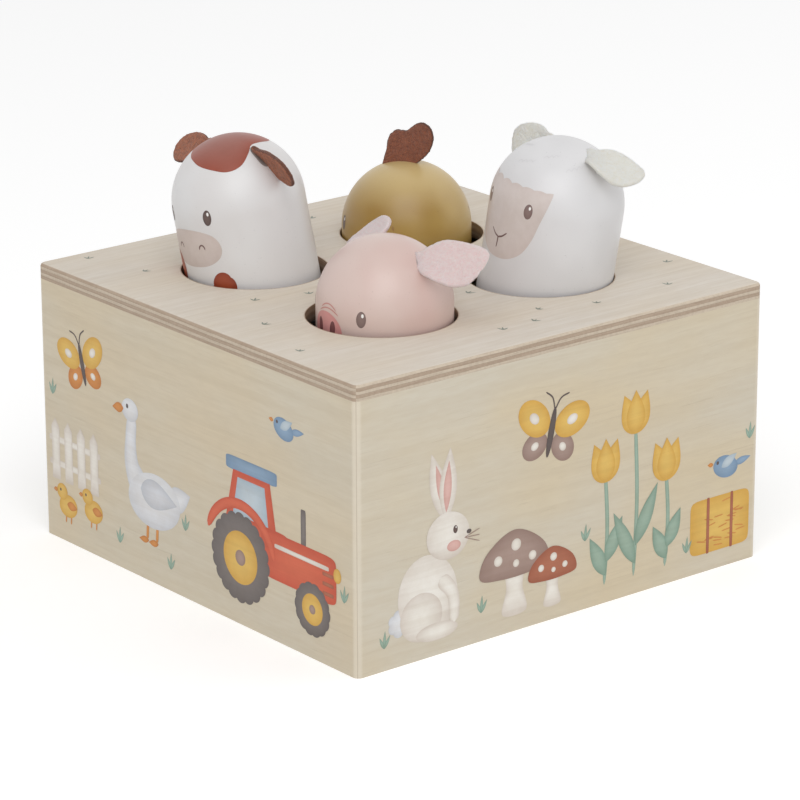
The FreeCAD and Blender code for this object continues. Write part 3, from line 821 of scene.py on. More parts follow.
# %% Ink materials
def ink_material(name, turn, grain_share, roughness):
    """Ink that takes its colour from the attribute and lets grain_share of the wood's figure through."""
    recipe = Finish(name)
    color = recipe.add("Attribute", attribute_name="ink")["Color"]
    along = recipe.turned(recipe.point, 0, 0, -turn)
    wood = recipe.group("wood grain", Vector=along, Along=9.0, Across=330.0)
    cloud = recipe.step(recipe.noise(recipe.point, 260.0, detail=4.0, roughness=0.6), 0.3, 0.7)
    darker = recipe.mix(1.0, color, tone(214, 204, 190), blend="MULTIPLY")
    color = recipe.mix(recipe.step(wood["Figure"], 0.36, 0.66) * grain_share, color, darker)
    color = recipe.mix(cloud * 0.16, color, darker)
    return recipe.finish(color, roughness, cloud, strength=0.05)


ink_x = ink_material("ink on grain along X", 0.0, 0.25, 0.5)
ink_y = ink_material("ink on grain along Y", math.pi / 2, 0.25, 0.5)
ink_peg = ink_material("ink on paint", 0.0, 0.0, 0.38)
print("inks are ready")

# %% [markdown]
# ## Faces
#
# A face is printed on a peg as it rolls over a pad, so paper coordinates become an angle round the peg
# and a height up it. Above the start of the round head the height goes on as an arc to the top. Eyes
# are dark ovals with a small light, which is what makes them look alive.

# %% Paint on pegs
def ink(middle, rim):
    """Two linear colours from two swatches."""
    return tone(*middle), tone(*rim)


EYE = ink((98, 78, 72), (82, 64, 60))
SOFT_EYE = ink((134, 113, 108), (120, 99, 95))
GLINT = ink((245, 243, 240), (245, 243, 240))
CHESTNUT = ink((168, 78, 48), (142, 60, 38))
TAUPE = ink((205, 192, 186), (198, 184, 178))
NOSTRIL = ink((112, 86, 82), (124, 96, 92))
# the dark inside a slot: painted shade
SLOT_SHADE = ink((96, 88, 84), (150, 142, 138))


def round_peg(stand):
    """Surface function of a peg: across is an arc at full radius from the face's middle, up is the
    arc from the foot. On the head the point is (r cos b, head + r sin b), with b = (up - head) / R."""
    def surface(across, up, lift):
        angle = across / PEG_RADIUS
        rise = np.clip((up - stand.head) / PEG_RADIUS, 0, None)
        radius = (PEG_RADIUS + lift) * np.cos(rise)
        height = np.minimum(up, stand.head) + (PEG_RADIUS + lift) * np.sin(rise)
        spots = np.stack([-radius * np.cos(angle), -radius * np.sin(angle), height], axis=-1)
        return stand.place(spots)
    return surface


def eye(picture, x, y, wide, high, turn=0.0, color=EYE):
    """A dark oval with a light near its top."""
    picture.fill(oval(x, y, wide / 2, high / 2, turn), color)
    picture.fill(oval(x + 0.14 * wide, y + 0.24 * high, 0.13 * wide, 0.12 * high, points=24), GLINT)


def cow_face(stand):
    """Two eyes, a broad muzzle, a patch over the head and spots low on the sides."""
    picture = Picture()
    bearing = np.linspace(-180, 180, 181)
    wave = through([(-180, 48), (-140, 53), (-95, 46), (-50, 57), (-11, 52), (12, 46.5), (31, 42.5),
                    (49, 39), (65, 42), (81, 52), (97, 60), (118, 59), (145, 53), (180, 48)])
    edge = np.radians(90 - np.interp(bearing, wave[:, 0], wave[:, 1]))
    share = np.linspace(0, 1, 22)[:, None]
    top = stand.head + PEG_RADIUS * math.pi / 2
    around, up = np.broadcast_arrays(np.radians(bearing) * PEG_RADIUS, top - share * PEG_RADIUS * edge)
    cap = np.stack([around, up], axis=-1)
    warm, deep = ink((150, 92, 80), (146, 66, 44))
    picture.grid(cap, warm + (deep - warm) * (share ** 3)[..., None])
    muzzle = through([(-11.6, 33.5), (-10.0, 37.0), (-4.0, 38.6), (4.0, 38.6), (10.0, 36.8), (12.2, 33.0),
                      (10.6, 29.4), (5.2, 27.2), (-4.0, 27.2), (-10.0, 29.6)], closed=True)
    picture.fill(muzzle, TAUPE, light=tone(214, 200, 193), rings=16)
    for side in (-1, 1):
        eye(picture, side * 9.2, 42.8, 2.9, 4.9, -side * 4)
        arch = np.linspace(0, math.pi, 14)
        nostril = np.stack([side * 5.2 + 1.1 * np.cos(arch), 32.6 + 1.5 * np.sin(arch)], axis=1)
        picture.line(nostril, 0.5, NOSTRIL)
    for x, y, wide, high, lean in ((10.6, 20.4, 4.2, 5.0, -16), (-12.5, 24.4, 6.6, 8.2, 10),
                                   (-40.0, 18.0, 7.0, 6.0, 0), (58.0, 23.0, 6.0, 6.4, 30),
                                   (-46.0, 42.0, 6.0, 4.8, -20)):
        picture.fill(curls(x, y, wide, high, 3, 0.14, lean, 72), CHESTNUT, rings=12)
    return picture


print("the cow's cap and face take", len(cow_face(STANDS["cow"]).faces), "strokes")

# %% [markdown]
# The sheep's face is a shield whose top edge is scalloped, where the wool hangs over it. The nose is
# a thin letter Y. Faint curls on the head hint at wool. The pig has a round snout with two long
# nostrils and two wrinkles over it, and the hen has a small pointed beak between its eyes.

# %% The other faces
WISP = ink((214, 213, 215), (218, 217, 218))
FLEECE_FACE = ink((214, 204, 199), (207, 195, 190))
SNOUT = ink((218, 154, 150), (205, 134, 132))


def sheep_face(stand):
    """A taupe face with a scalloped top, eyes, a thin nose and curls of wool."""
    picture = Picture().move(-1.2, 0)
    scallop = np.linspace(-1, 1, 90)
    wave = np.abs(np.sin((scallop + 0.12 * scallop ** 2) * 3.2 * math.pi)) ** 0.8
    deep = np.interp(scallop, (-1, -0.2, 0.3, 1), (1.2, 1.0, 0.5, 0.3))
    top = np.stack([15.9 * scallop + 0.7, 52.4 - 0.4 * scallop - deep * (1 - wave)], axis=1)
    cheeks = through([(16.6, 51.4), (15.6, 47.6), (13.8, 42.0), (11.9, 36.0), (8.8, 31.0), (3.4, 28.2),
                      (-3.4, 28.2), (-8.8, 31.0), (-11.9, 36.0), (-13.6, 42.0), (-14.9, 48.0),
                      (-15.3, 52.0)])
    picture.fill(np.concatenate([top, cheeks[1:-1]]), FLEECE_FACE, rings=26, power=3.0)
    for side in (-1, 1):
        eye(picture, side * 9.6, 45.0, 2.9, 4.7, -side * 3, SOFT_EYE)
        mouth = through([(-0.4, 34.2), (side * 1.8 - 0.4, 34.9), (side * 3.6 - 0.4, 36.4)])
        picture.line(mouth, (0.6, 0.4), NOSTRIL)
    picture.line(through([(-0.4, 34.4), (-0.5, 32.6), (-0.7, 30.8)]), (0.6, 0.4), NOSTRIL)
    rng = np.random.default_rng(7)
    run = np.linspace(0, 1, 40)
    for x in np.arange(-60.0, 61.0, 12.0):
        for y in (50.0, 60.5):
            spot = np.array((x + rng.uniform(-3, 3), y + rng.uniform(-2.5, 2.5)))
            if spot[0] < -19 or y > 57:
                wavy = np.abs(np.sin(run * 3.5 * math.pi)) + 2.2 * run
                curl = np.stack([8.5 * (run - 0.5), wavy], axis=1)
                picture.line(spot + curl, 0.32, WISP)
    return picture


def pig_face(stand):
    """A snout with nostrils and wrinkles, and two eyes."""
    picture = Picture().move(-2.1, 18.6)
    picture.fill(oval(0, 0, 7.0, 6.1), SNOUT, light=tone(216, 156, 154), rings=12)
    for side in (-1, 1):
        picture.fill(oval(side * 3.1, 1.2, 1.15, 2.5, -side * 4), ink((128, 80, 80), (112, 68, 70)))
        eye(picture, side * 13.5, 5.8, 3.1, 5.0, -side * 3, SOFT_EYE)
    run = np.linspace(-1, 1, 20)
    for rise, spread in ((7.3, 4.6), (8.6, 3.6)):
        picture.line(np.stack([1.0 + spread * run, rise - 1.6 * run ** 2], axis=1), 0.42,
                     ink((196, 138, 132), (204, 150, 142)))
    return picture


HEN_TURN = -60.0
STANDS["hen"] = Stand("hen", HEN_TURN)


def hen_face(stand):
    """Two eyes, a beak, and a few small ticks of darker ink."""
    picture = Picture()
    beak = through([(-2.6, 24.6), (0, 25.8), (2.6, 24.6), (1.4, 22.2), (0, 20.4), (-1.4, 22.2)],
                   closed=True)
    picture.fill(beak, ink((206, 132, 62), (186, 108, 48)))
    for side in (-1, 1):
        eye(picture, side * 13.2, 24.9, 2.8, 4.8)
    dark_tick = ink((146, 108, 58), (152, 116, 64))
    for x, y, turn in ((35.6, 27.7, -75), (-34.0, 26.5, -100), (-42.0, 30.5, -95), (-50.0, 25.0, -85),
                       (-60.0, 29.5, -80)):
        picture.fill(leaf(x, y, 1.8, 0.9, turn, points=20), dark_tick, rings=3)
    return picture


FACES = {"cow": cow_face, "sheep": sheep_face, "pig": pig_face, "hen": hen_face}
print("faces for", ", ".join(FACES))

# %% [markdown]
# ## Wool felt
#
# Felt is matted fibre, so it has no weave: only fuzz. The surface is stirred by a fine noise in the
# bump and in the colour, and sheen lights up the fuzz at its edges. The mesh itself is also pushed in
# and out by a tenth of a millimetre, so that its outline is a little ragged, as a cut edge is.

# %% Felt material and noise
def felt(name, color, dark, light, scorch=0.7, through_light=0.0):
    """Matted wool: two sizes of fibre noise, clumps from dark to light, and a rim scorched by the cut.
    Pale wool lets part of the light through."""
    recipe = Finish(name)
    clumps = recipe.step(recipe.noise(recipe.point, 850.0, roughness=0.65), 0.34, 0.66)
    strands = recipe.step(recipe.noise(recipe.point, 2600.0, roughness=0.75, distortion=1.5), 0.36, 0.62)
    tint = recipe.mix(strands * 0.6, recipe.mix(clumps, tone(*dark), tone(*color)), tone(*light))
    rim = recipe.step(recipe.add("Attribute", attribute_name="rim")["Fac"], 0.93, 0.99)
    tint = recipe.mix(rim * scorch, tint, tone(*dark) * 0.35)
    return recipe.finish(tint, 0.95, clumps * 0.8 + strands, strength=0.7, distance=0.35,
                         Subsurface_Weight=through_light, Subsurface_Radius=(1.0, 0.9, 0.8),
                         Subsurface_Scale=0.003, Sheen_Weight=0.25 + through_light,
                         Sheen_Roughness=0.6, Specular_IOR_Level=0.15)


brown = felt("brown felt", (176, 96, 60), (122, 62, 40), (208, 130, 88))
cream = felt("cream felt", (253, 248, 234), (246, 238, 218), (254, 253, 246), 0.1, 0.6)
pink = felt("pink felt", (254, 217, 214), (251, 202, 201), (255, 232, 230), 0.1, 0.6)
red_brown = felt("red brown felt", (146, 82, 56), (112, 58, 40), (186, 112, 78))
FELTS = {"cow": ("brown_felt", brown), "sheep": ("cream_felt", cream), "pig": ("pink_felt", pink),
         "hen": ("red_brown_felt", red_brown)}


def fuzz(points, cell, seed):
    """Smooth random values from -1 to 1 in space: random numbers at the corners of cubes of side cell,
    blended by 3 t^2 - 2 t^3 along each axis."""
    size = 64
    lattice = np.random.default_rng(seed).uniform(-1, 1, (size, size, size))
    where = points / cell
    low = np.floor(where).astype(int)
    share = smooth_step(0, 1, where - low)
    total = np.zeros(points.shape[:-1])
    for step in np.ndindex(2, 2, 2):
        corner = (low + step) % size
        weight = np.prod(np.abs(1 - np.array(step) - share), axis=-1)
        total += weight * lattice[corner[..., 0], corner[..., 1], corner[..., 2]]
    return total


print("felts:", ", ".join(FELTS))

# %% [markdown]
# ## A sheet of felt
#
# Ears and comb are cut from sheet along an outline, pinched at the root and glued into a slot in the
# head. Rings from the middle out to the outline make one sheet above and one below the middle of the
# felt, and both meet at the rim, which closes the piece. A bend then curves the flat shape, as fingers
# do when they push the root into its slot.

# %% Cut and bend felt
FELT_THICKNESS = 1.6
FELT_ROUGHNESS = 0.10


def even_outline(knots, points=241):
    """A smooth closed curve through knots, cut into even steps. Its last point is its first."""
    curve = through(knots, closed=True, steps=24)
    curve = np.concatenate([curve, curve[:1]])
    run = np.r_[0, np.cumsum(np.linalg.norm(np.diff(curve, axis=0), axis=1))]
    spots = np.linspace(0, run[-1], points)
    return np.stack([np.interp(spots, run, curve[:, k]) for k in range(2)], axis=1)


def bent(x, height, lift, bow, long):
    """A sheet's x and height after bending. Its middle climbs at lift degrees and turns down by bow degrees
    over its length: with the angle a = lift - bow x / long, its middle is the integral of (cos a, sin a),
    and height is laid along the normal (-sin a, cos a). Below x = 0 it stays straight."""
    start, turn = math.radians(lift), math.radians(bow) / long
    reach = np.clip(x, 0, None)
    angle = start - turn * reach
    middle_x = (math.sin(start) - np.sin(angle)) / turn + np.minimum(x, 0) * math.cos(start)
    middle_z = (np.cos(angle) - math.cos(start)) / turn + np.minimum(x, 0) * math.sin(start)
    return middle_x - height * np.sin(angle), middle_z + height * np.cos(angle)


def felt_sheet(name, knots, dents, frame_rows, origin, animal, seed, lift=0.0, bow=0.1):
    """A felt piece. Ring s holds centre + s (outline - centre), and its height is dents(x, y) plus or minus
    half the felt times sqrt(1 - s^16). frame_rows and origin put x, y and z on the animal's peg."""
    outline = even_outline(knots)
    centre = (outline.max(0) + outline.min(0)) / 2
    ring = np.sin(np.linspace(0, math.pi / 2, 44))[:, None, None]
    flat = centre + ring * (outline - centre)
    x, y = flat[..., 0], flat[..., 1]
    thick = FELT_THICKNESS / 2 * np.sqrt(1 - ring[..., 0] ** 16)
    sheets = []
    for side in (-1, 1):
        bent_x, bent_z = bent(x, dents(x, y) + side * thick, lift, bow, outline[:, 0].max())
        sheets.append(np.stack([bent_x, y, bent_z], axis=-1))
    points = np.stack(sheets)
    stir = [fuzz(points, 0.9, seed + k) + 0.7 * fuzz(points, 0.4, seed + 5 + k) for k in range(3)]
    points = points + FELT_ROUGHNESS * np.stack(stir, axis=-1)
    _, rows, columns, _ = points.shape
    faces = np.concatenate([grid_faces(rows, columns), grid_faces(rows, columns, rows * columns)])
    rim = np.broadcast_to(ring[..., 0], points.shape[:-1]).ravel()
    slot, wool = FELTS[animal]
    piece = make_piece(name + "_felt", STANDS[animal].place(points @ frame_rows + origin), faces, [wool],
                       animal + "_animal", sharp=75.0, marks={"rim": rim})
    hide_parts(name)
    return piece


print("felt is", FELT_THICKNESS, "mm thick")

# %% [markdown]
# ## Ears
#
# An ear's outline is written from its slot outwards: x along the ear, y across it. Its place on the
# head follows the frame's solids, as five angles: how far down the head and how far back the slot is,
# how much the ear droops, how far it sweeps back, and how it is rolled. Cow ears hang like two short
# awnings, sheep ears stand out like wide leaves, and pig ears are large triangles.

# %% Glue in the ears
def ear_frame(side, bearing, behind, droop, sweep, roll, head):
    """Origin of an ear on its peg, and rows for along, across and normal. side is -1 on the left.
    With no roll the ear stands upright, and roll turns its upper edge back or forward."""
    bearing, behind, droop, sweep, roll = np.radians((bearing, behind, droop, sweep, -side * roll))
    out = PEG_RADIUS * np.sin(bearing)
    origin = np.array([out * np.sin(behind), side * out * np.cos(behind),
                       head + PEG_RADIUS * np.cos(bearing)])
    level = np.array([np.sin(sweep), side * np.cos(sweep), 0])
    along = level * np.cos(droop) - np.array([0, 0, np.sin(droop)])
    upright = np.array([0, 0, np.cos(droop)]) + level * np.sin(droop)
    across = upright * np.cos(roll) + np.cross(along, upright) * np.sin(roll)
    return origin, np.array([along, across, np.cross(along, across)])


COW_EAR = [(-3.0, -2.6), (0, -3.2), (3.5, -4.8), (8, -5.5), (13, -4.9), (15.8, -1.8), (15.8, 2.2),
           (12.6, 5.0), (8, 5.4), (3.5, 4.6), (0, 3.0), (-3.0, 2.4)]
SHEEP_EAR = [(-3.4, -3.0), (0, -3.8), (2.6, -6.0), (8, -7.2), (13.6, -6.4), (17.0, -3.8), (18.4, 0.2),
             (17.4, 3.8), (14.0, 5.4), (8.5, 5.8), (3.4, 4.6), (0, 2.6), (-3.0, 1.4)]
PIG_EAR = [(-3.6, -3.0), (0, -3.4), (2.0, -5.0), (6.8, -7.7), (12.4, -9.2), (17.4, -8.0), (20.9, -3.0),
           (22.2, 1.2), (20.4, 4.0), (15.0, 6.0), (8.2, 6.8), (3.0, 5.2), (0, 3.3), (-3.0, 2.2)]


def dents(pinch, curl, sway, long, wide):
    """Heights of a sheet: pinch v^2 (1 - u)^2 folds the root up at both edges, curl v^2 lifts the lower
    edge near the root, and sway sin(2 pi u) waves it, for u = x / long and v = 2 y / wide."""
    def height(x, y):
        u, v = np.clip(x / long, 0, 1), 2 * y / wide
        edge = np.clip(-v, 0, 1) ** 2 * smooth_step(0, 0.15, u) * (1 - smooth_step(0.2, 0.9, u))
        return pinch * v ** 2 * (1 - u) ** 2 + curl * edge + sway * np.sin(2 * math.pi * u)
    return height


EARS = {
    # the side, then bearing, behind, droop, sweep and roll, then outline, dents, lift and bow
    "cow_left_ear": ((-1, 43.6, 5.2, 23.5, 0, 23.5), COW_EAR, dents(0.5, 0.0, 0.0, 15.5, 10), -4, -9),
    "cow_right_ear": ((1, 42, 3.8, 5, -0.8, -49), COW_EAR, dents(-1.2, 0.0, 0.0, 15.5, 10), 4, 9),
    "sheep_left_ear": ((-1, 29.2, 10.8, 9.6, 15.3, -65), SHEEP_EAR, dents(0.8, 2.0, 0.4, 18, 12), 4, 9),
    "sheep_right_ear": ((1, 40.5, 17.7, 18.4, 5.9, -13.5), SHEEP_EAR, dents(-1.0, -1.2, 0.4, 18, 12), 2, 5),
    "pig_left_ear": ((-1, 42, 9.6, -7.3, 27, -46), PIG_EAR, dents(0.6, 0.8, 0.4, 22, 16), 2, 4),
    "pig_right_ear": ((1, 42.7, 25.4, 2.8, 37.3, -55), PIG_EAR, dents(-0.6, -0.6, 0.3, 22, 16), -2, -4),
}
ears = {}
for number, (name, (pose, knots, heights, lift, bow)) in enumerate(EARS.items()):
    animal = name.split("_")[0]
    origin, rows = ear_frame(*pose, STANDS[animal].head)
    piece = felt_sheet(name, knots, heights, rows, origin, animal, 20 * number + 1, lift, bow)
    ears[name] = (piece, origin, rows)
    print(name, "is", round(float(max(x for x, _ in knots)), 1), "mm long")

# %% [markdown]
# ## The comb
#
# The hen's comb is cut like the ears, from red brown felt: a heart with a larger lobe at the back. It
# stands a little before the top of the head and leans back, in the plane from the beak to the tail.

# %% Set the comb
COMB_FORWARD = 2.6
COMB_TILT = math.radians(12)
COMB = [(4.4, -3.6), (-4.2, -3.6), (-4.7, -0.6), (-6.8, 1.8), (-9.0, 4.8), (-10.2, 8.2), (-10.5, 11.4),
        (-9.4, 14.1), (-7.0, 15.4), (-4.2, 14.6), (-1.9, 12.2), (-0.6, 10.6), (1.0, 10.1), (3.2, 9.4),
        (4.9, 7.4), (5.3, 4.8), (5.0, 2.2), (5.0, 0.6)]
c, s = math.cos(COMB_TILT), math.sin(COMB_TILT)
comb_rows = np.array([[-c, 0, s], [s, 0, c], [0, 1, 0]])
comb_rise = math.sqrt(PEG_RADIUS ** 2 - COMB_FORWARD ** 2)
comb_root = np.array([-COMB_FORWARD, 0, STANDS["hen"].head + comb_rise])


def wave(x, y):
    """The comb's height off its plane: it waves and leans a little more where it is higher."""
    high = np.clip(y, 0, None)
    return 0.5 * np.sin(high / 5) + 0.02 * x * high


comb = felt_sheet("hen_comb", COMB, wave, comb_rows, comb_root, "hen", 131)
print(comb.name, len(comb.data.polygons), "faces")

# %% [markdown]
# ## Print the faces
#
# The cow's slots are a little longer than its felt, so the end of each slot shows beside the root. On
# the other heads the felt hides its slot. The shade inside each slot is painted as dark ink under the
# felt, with the faces.

# %% Print the faces
LONG_SLIT_SHADES = {"cow": (4.2, 2.0)}
SHORT_SLIT_SHADE = (2.4, 1.2)
for animal, draw in FACES.items():
    stand = STANDS[animal]
    picture = draw(stand).move()
    for name, (_, origin, rows) in ears.items():
        if name.startswith(animal):
            where = origin - (0, 0, stand.head)
            rise = math.asin(where[2] / PEG_RADIUS)
            spot = (math.atan2(-where[1], -where[0]) * PEG_RADIUS, stand.head + rise * PEG_RADIUS)
            east = np.array([math.sin(spot[0] / PEG_RADIUS), -math.cos(spot[0] / PEG_RADIUS), 0])
            north = np.cross(where / PEG_RADIUS, east)
            run = np.cross(where / PEG_RADIUS, rows[2])
            turn = math.degrees(math.atan2(run @ north, run @ east))
            # the slot's shape in dark ink: painted shade inside the slot
            mouth = oval(0, 0, *LONG_SLIT_SHADES.get(animal, SHORT_SLIT_SHADE), turn, square=3.0)
            mouth[:, 0] /= math.cos(rise)
            picture.fill(mouth + spot, SLOT_SHADE)
    slot, _ = PAINTS[animal]
    piece = picture.print_on(animal + "_face_paint", round_peg(stand), ink_peg, animal + "_animal", slot)
    print(piece.name, len(piece.data.polygons), "faces")

# %% [markdown]
# ## Pictures on the panels
#
# Each side panel carries a print of country things in soft colours, drawn like coloured pencil: flat
# shapes whose rims are a little darker than their middles. A picture is written in millimetres, across
# to the viewer's right from the panel's middle and up from the floor. Motifs that come back are
# functions with a place and a size: a board, grass, a fence, a butterfly, a toadstool and a tulip.

# %% Inks and motifs that come back
RED = ink((216, 104, 72), (200, 82, 54))
BLUE = ink((142, 168, 194), (118, 146, 176))
PALE_BLUE = ink((196, 208, 216), (172, 190, 204))
YELLOW = ink((228, 190, 100), (214, 166, 72))
ORANGE = ink((216, 146, 74), (196, 122, 54))
RUST = ink((176, 108, 80), (158, 88, 62))
MAUVE = ink((170, 146, 136), (148, 122, 112))
SAGE = ink((158, 182, 166), (128, 156, 140))
CREAM = ink((240, 236, 228), (216, 206, 196))
SNOW = ink((230, 231, 234), (206, 208, 214))
TYRE = ink((128, 120, 116), (102, 94, 92))
PINK = ink((226, 186, 178), (212, 164, 156))
DARK = ink((92, 80, 76), (84, 72, 70))


def board(picture, x, y, half_wide, half_high, color):
    """A strip with nearly square corners."""
    picture.fill(oval(x, y, half_wide, half_high, square=9.0), color, rings=5)


def tuft(picture, x, y):
    """Three blades of grass."""
    for lean, long in ((-24, 4.2), (4, 5.6), (30, 4.6)):
        picture.fill(leaf(x, y, long, 1.1, 90 - lean, points=16), SAGE, rings=3)


def fence(picture, x, y, pickets):
    """Pointed pickets on two rails, from x to the right."""
    for rise in (5.5, 13.5):
        board(picture, x + 3.5 * (pickets - 1), y + rise, 3.5 * pickets, 1.1, CREAM)
    for middle in x + 7.0 * np.arange(pickets):
        shape = [(middle - 2.2, y), (middle + 2.2, y), (middle + 2.2, y + 17.5), (middle, y + 20.5),
                 (middle - 2.2, y + 17.5)]
        picture.fill(straight(shape), CREAM)


def butterfly(picture, x, y, size, upper, lower, lean=0.0):
    """Four oval wings, two feelers and a thin body."""
    wings = ((lower, 0.33, -0.26, 0.30, 0.24, -38), (upper, 0.45, 0.24, 0.42, 0.30, 32))
    for side in (-1, 1):
        for color, out, rise, wide, high, turn in wings:
            spot = spin(np.array([[x + side * out * size, y + rise * size]]), lean, (x, y))[0]
            picture.fill(oval(*spot, wide * size, high * size, side * turn + lean), color)
            picture.fill(oval(*spot, 0.3 * wide * size, 0.3 * high * size, side * turn + lean), CREAM,
                         rings=4)
        feeler = through([(x, y + 0.4 * size), (x + side * 0.1 * size, y + 0.62 * size),
                          (x + side * 0.28 * size, y + 0.72 * size)])
        picture.line(spin(feeler, lean, (x, y)), 0.5, DARK)
    picture.fill(oval(x, y, 0.07 * size, 0.46 * size, lean), DARK)


def toadstool(picture, x, y, size, cap):
    """A bulging stalk, a domed cap and pale dots."""
    stalk = [(-0.17, 0), (0.17, 0), (0.12, 0.3), (0.14, 0.6), (-0.14, 0.6), (-0.12, 0.3)]
    dome = [(-0.5, 0.5), (-0.4, 0.78), (0, 0.98), (0.4, 0.78), (0.5, 0.5), (0.2, 0.43), (-0.2, 0.43)]
    place = np.array((x, y))
    picture.fill(place + size * through(stalk, closed=True), CREAM)
    picture.fill(place + size * through(dome, closed=True), cap, rings=8)
    for across, up, half in ((-0.24, 0.66, 0.06), (0.02, 0.80, 0.07), (0.26, 0.62, 0.055),
                             (0.02, 0.58, 0.045)):
        picture.fill(oval(x + size * across, y + size * up, half * size, half * size), CREAM, rings=3)


def tulip(picture, x, y, high, color):
    """A stem with two leaves and a cup of three petals."""
    picture.line(through([(x, y), (x + 1.0, y + high / 2), (x, y + high)]), 1.5, SAGE)
    for side, rise in ((-1, 0.08), (1, 0.2)):
        picture.fill(leaf(x + 0.5, y + rise * high, 0.42 * high, 5.4, 90 - side * 26), SAGE)
    for turn in (-20, 20, 0):
        picture.fill(leaf(x, y + high - 3, 14.0, 7.6, 90 + turn, fullness=0.72), color, rings=8)


print("inks and motifs are ready")

# %% Picture for the front
def bird(picture, x, y, size, color, facing=1):
    """A small bird: tail, body, wing, beak and eye."""
    picture.fill(leaf(x - facing * 0.3 * size, y, 0.6 * size, 0.2 * size, 90 + facing * 80), color)
    picture.fill(oval(x, y, 0.44 * size, 0.3 * size, facing * 16), color)
    picture.fill(leaf(x + facing * 0.44 * size, y + 0.14 * size, 0.2 * size, 0.12 * size,
                      90 - facing * 84), ORANGE)
    picture.fill(leaf(x + facing * 0.14 * size, y, 0.6 * size, 0.26 * size, 90 + facing * 62), PALE_BLUE)
    picture.fill(oval(x + facing * 0.28 * size, y + 0.15 * size, 0.045 * size, 0.05 * size), DARK, rings=3)


def gosling(picture, x, y):
    """A round yellow chick on two short legs, facing left."""
    for foot in (-1.2, 1.6):
        picture.line(np.linspace((x + foot, y + 3.4), (x + foot - 0.3, y + 0.4), 8), 0.7, ORANGE)
    picture.fill(oval(x, y + 6.2, 5.0, 3.8, 10), YELLOW)
    picture.fill(oval(x - 3.2, y + 10.4, 2.9, 2.7), YELLOW)
    picture.fill(leaf(x - 5.7, y + 10.4, 2.2, 1.5, 184), ORANGE, rings=4)
    picture.fill(leaf(x - 0.6, y + 6.8, 5.6, 3.0, -4), ORANGE, rings=4)
    picture.fill(oval(x - 4.0, y + 10.9, 0.4, 0.5), DARK, rings=3)


def goose(picture):
    """A white goose that walks to the left."""
    for foot in (-24.0, -19.0):
        picture.line(np.linspace((foot + 0.6, 21), (foot, 13.6), 10), 1.3, ORANGE)
        picture.fill(leaf(foot + 0.8, 13.4, 5.2, 2.2, 186), ORANGE, rings=4)
    picture.fill(leaf(-13.0, 28.5, 13.0, 8.4, 24), SNOW)
    neck = through([(-27.0, 28.5), (-31.4, 36.0), (-31.8, 44.0), (-30.6, 52.0)])
    picture.line(neck, (12.0, 7.4, 5.4, 5.4), SNOW)
    picture.fill(oval(-20.0, 27.0, 13.6, 9.0, 6), SNOW, light=tone(236, 237, 239), rings=12)
    picture.fill(oval(-31.8, 53.6, 4.3, 3.7), SNOW, light=tone(236, 237, 239), rings=8)
    picture.fill(leaf(-35.2, 53.4, 6.0, 3.2, 188), ORANGE)
    picture.fill(leaf(-27.0, 29.6, 19.0, 9.4, -3, fullness=0.66),
                 ink((218, 220, 226), (196, 200, 208)), rings=8)
    picture.fill(oval(-33.2, 54.6, 0.6, 0.75), DARK, rings=3)


def tractor(picture):
    """A red tractor that drives to the right."""
    board(picture, 21, 44, 12.5, 2.2, BLUE)
    picture.fill(straight([(8, 26), (33, 26), (30, 42), (12, 42)]), RED)
    picture.fill(straight([(11.6, 28), (29, 28), (27.4, 40), (14.2, 40)]), PALE_BLUE)
    board(picture, 46, 32.5, 1.2, 6.0, TYRE)
    board(picture, 25, 21, 14, 7.0, RED)
    board(picture, 43.5, 20, 18, 7.5, RED)
    board(picture, 45, 23.4, 13, 0.7, CREAM)
    for rise in (15.5, 18.5, 21.5):
        board(picture, 57.6, rise, 2.6, 0.6, RUST)
    picture.fill(oval(62.0, 22.5, 1.8, 2.3), YELLOW)
    for x, y, radius, lobes in ((15, 14.5, 14.5, 20), (50, 8.5, 8.5, 14)):
        picture.fill(curls(x, y, radius, radius, lobes, 0.06), TYRE, rings=8)
        picture.fill(oval(x, y, 0.58 * radius, 0.58 * radius), YELLOW, rings=8)
        picture.fill(oval(x, y, 0.17 * radius, 0.17 * radius), MAUVE, rings=4)
    arch = np.radians(np.linspace(12, 160, 40))
    picture.line(np.stack([15 + 17.0 * np.cos(arch), 14.5 + 17.0 * np.sin(arch)], axis=1), 3.4, RED)


def front_picture():
    """A goose with two goslings, a fence with a butterfly, and a tractor."""
    picture = Picture()
    fence(picture, -73, 20, 4)
    butterfly(picture, -57, 62, 15, YELLOW, ORANGE, 14)
    gosling(picture, -53, 8)
    gosling(picture, -67, 6)
    goose(picture)
    tractor(picture.move(9, 7))
    bird(picture.move(), 46, 68, 11, BLUE, -1)
    for x, y in ((-39, 8), (-12, 7), (-4, 22), (74, 22), (-74, 48)):
        tuft(picture, x, y)
    return picture


print("the front has", len(front_picture().faces), "strokes")

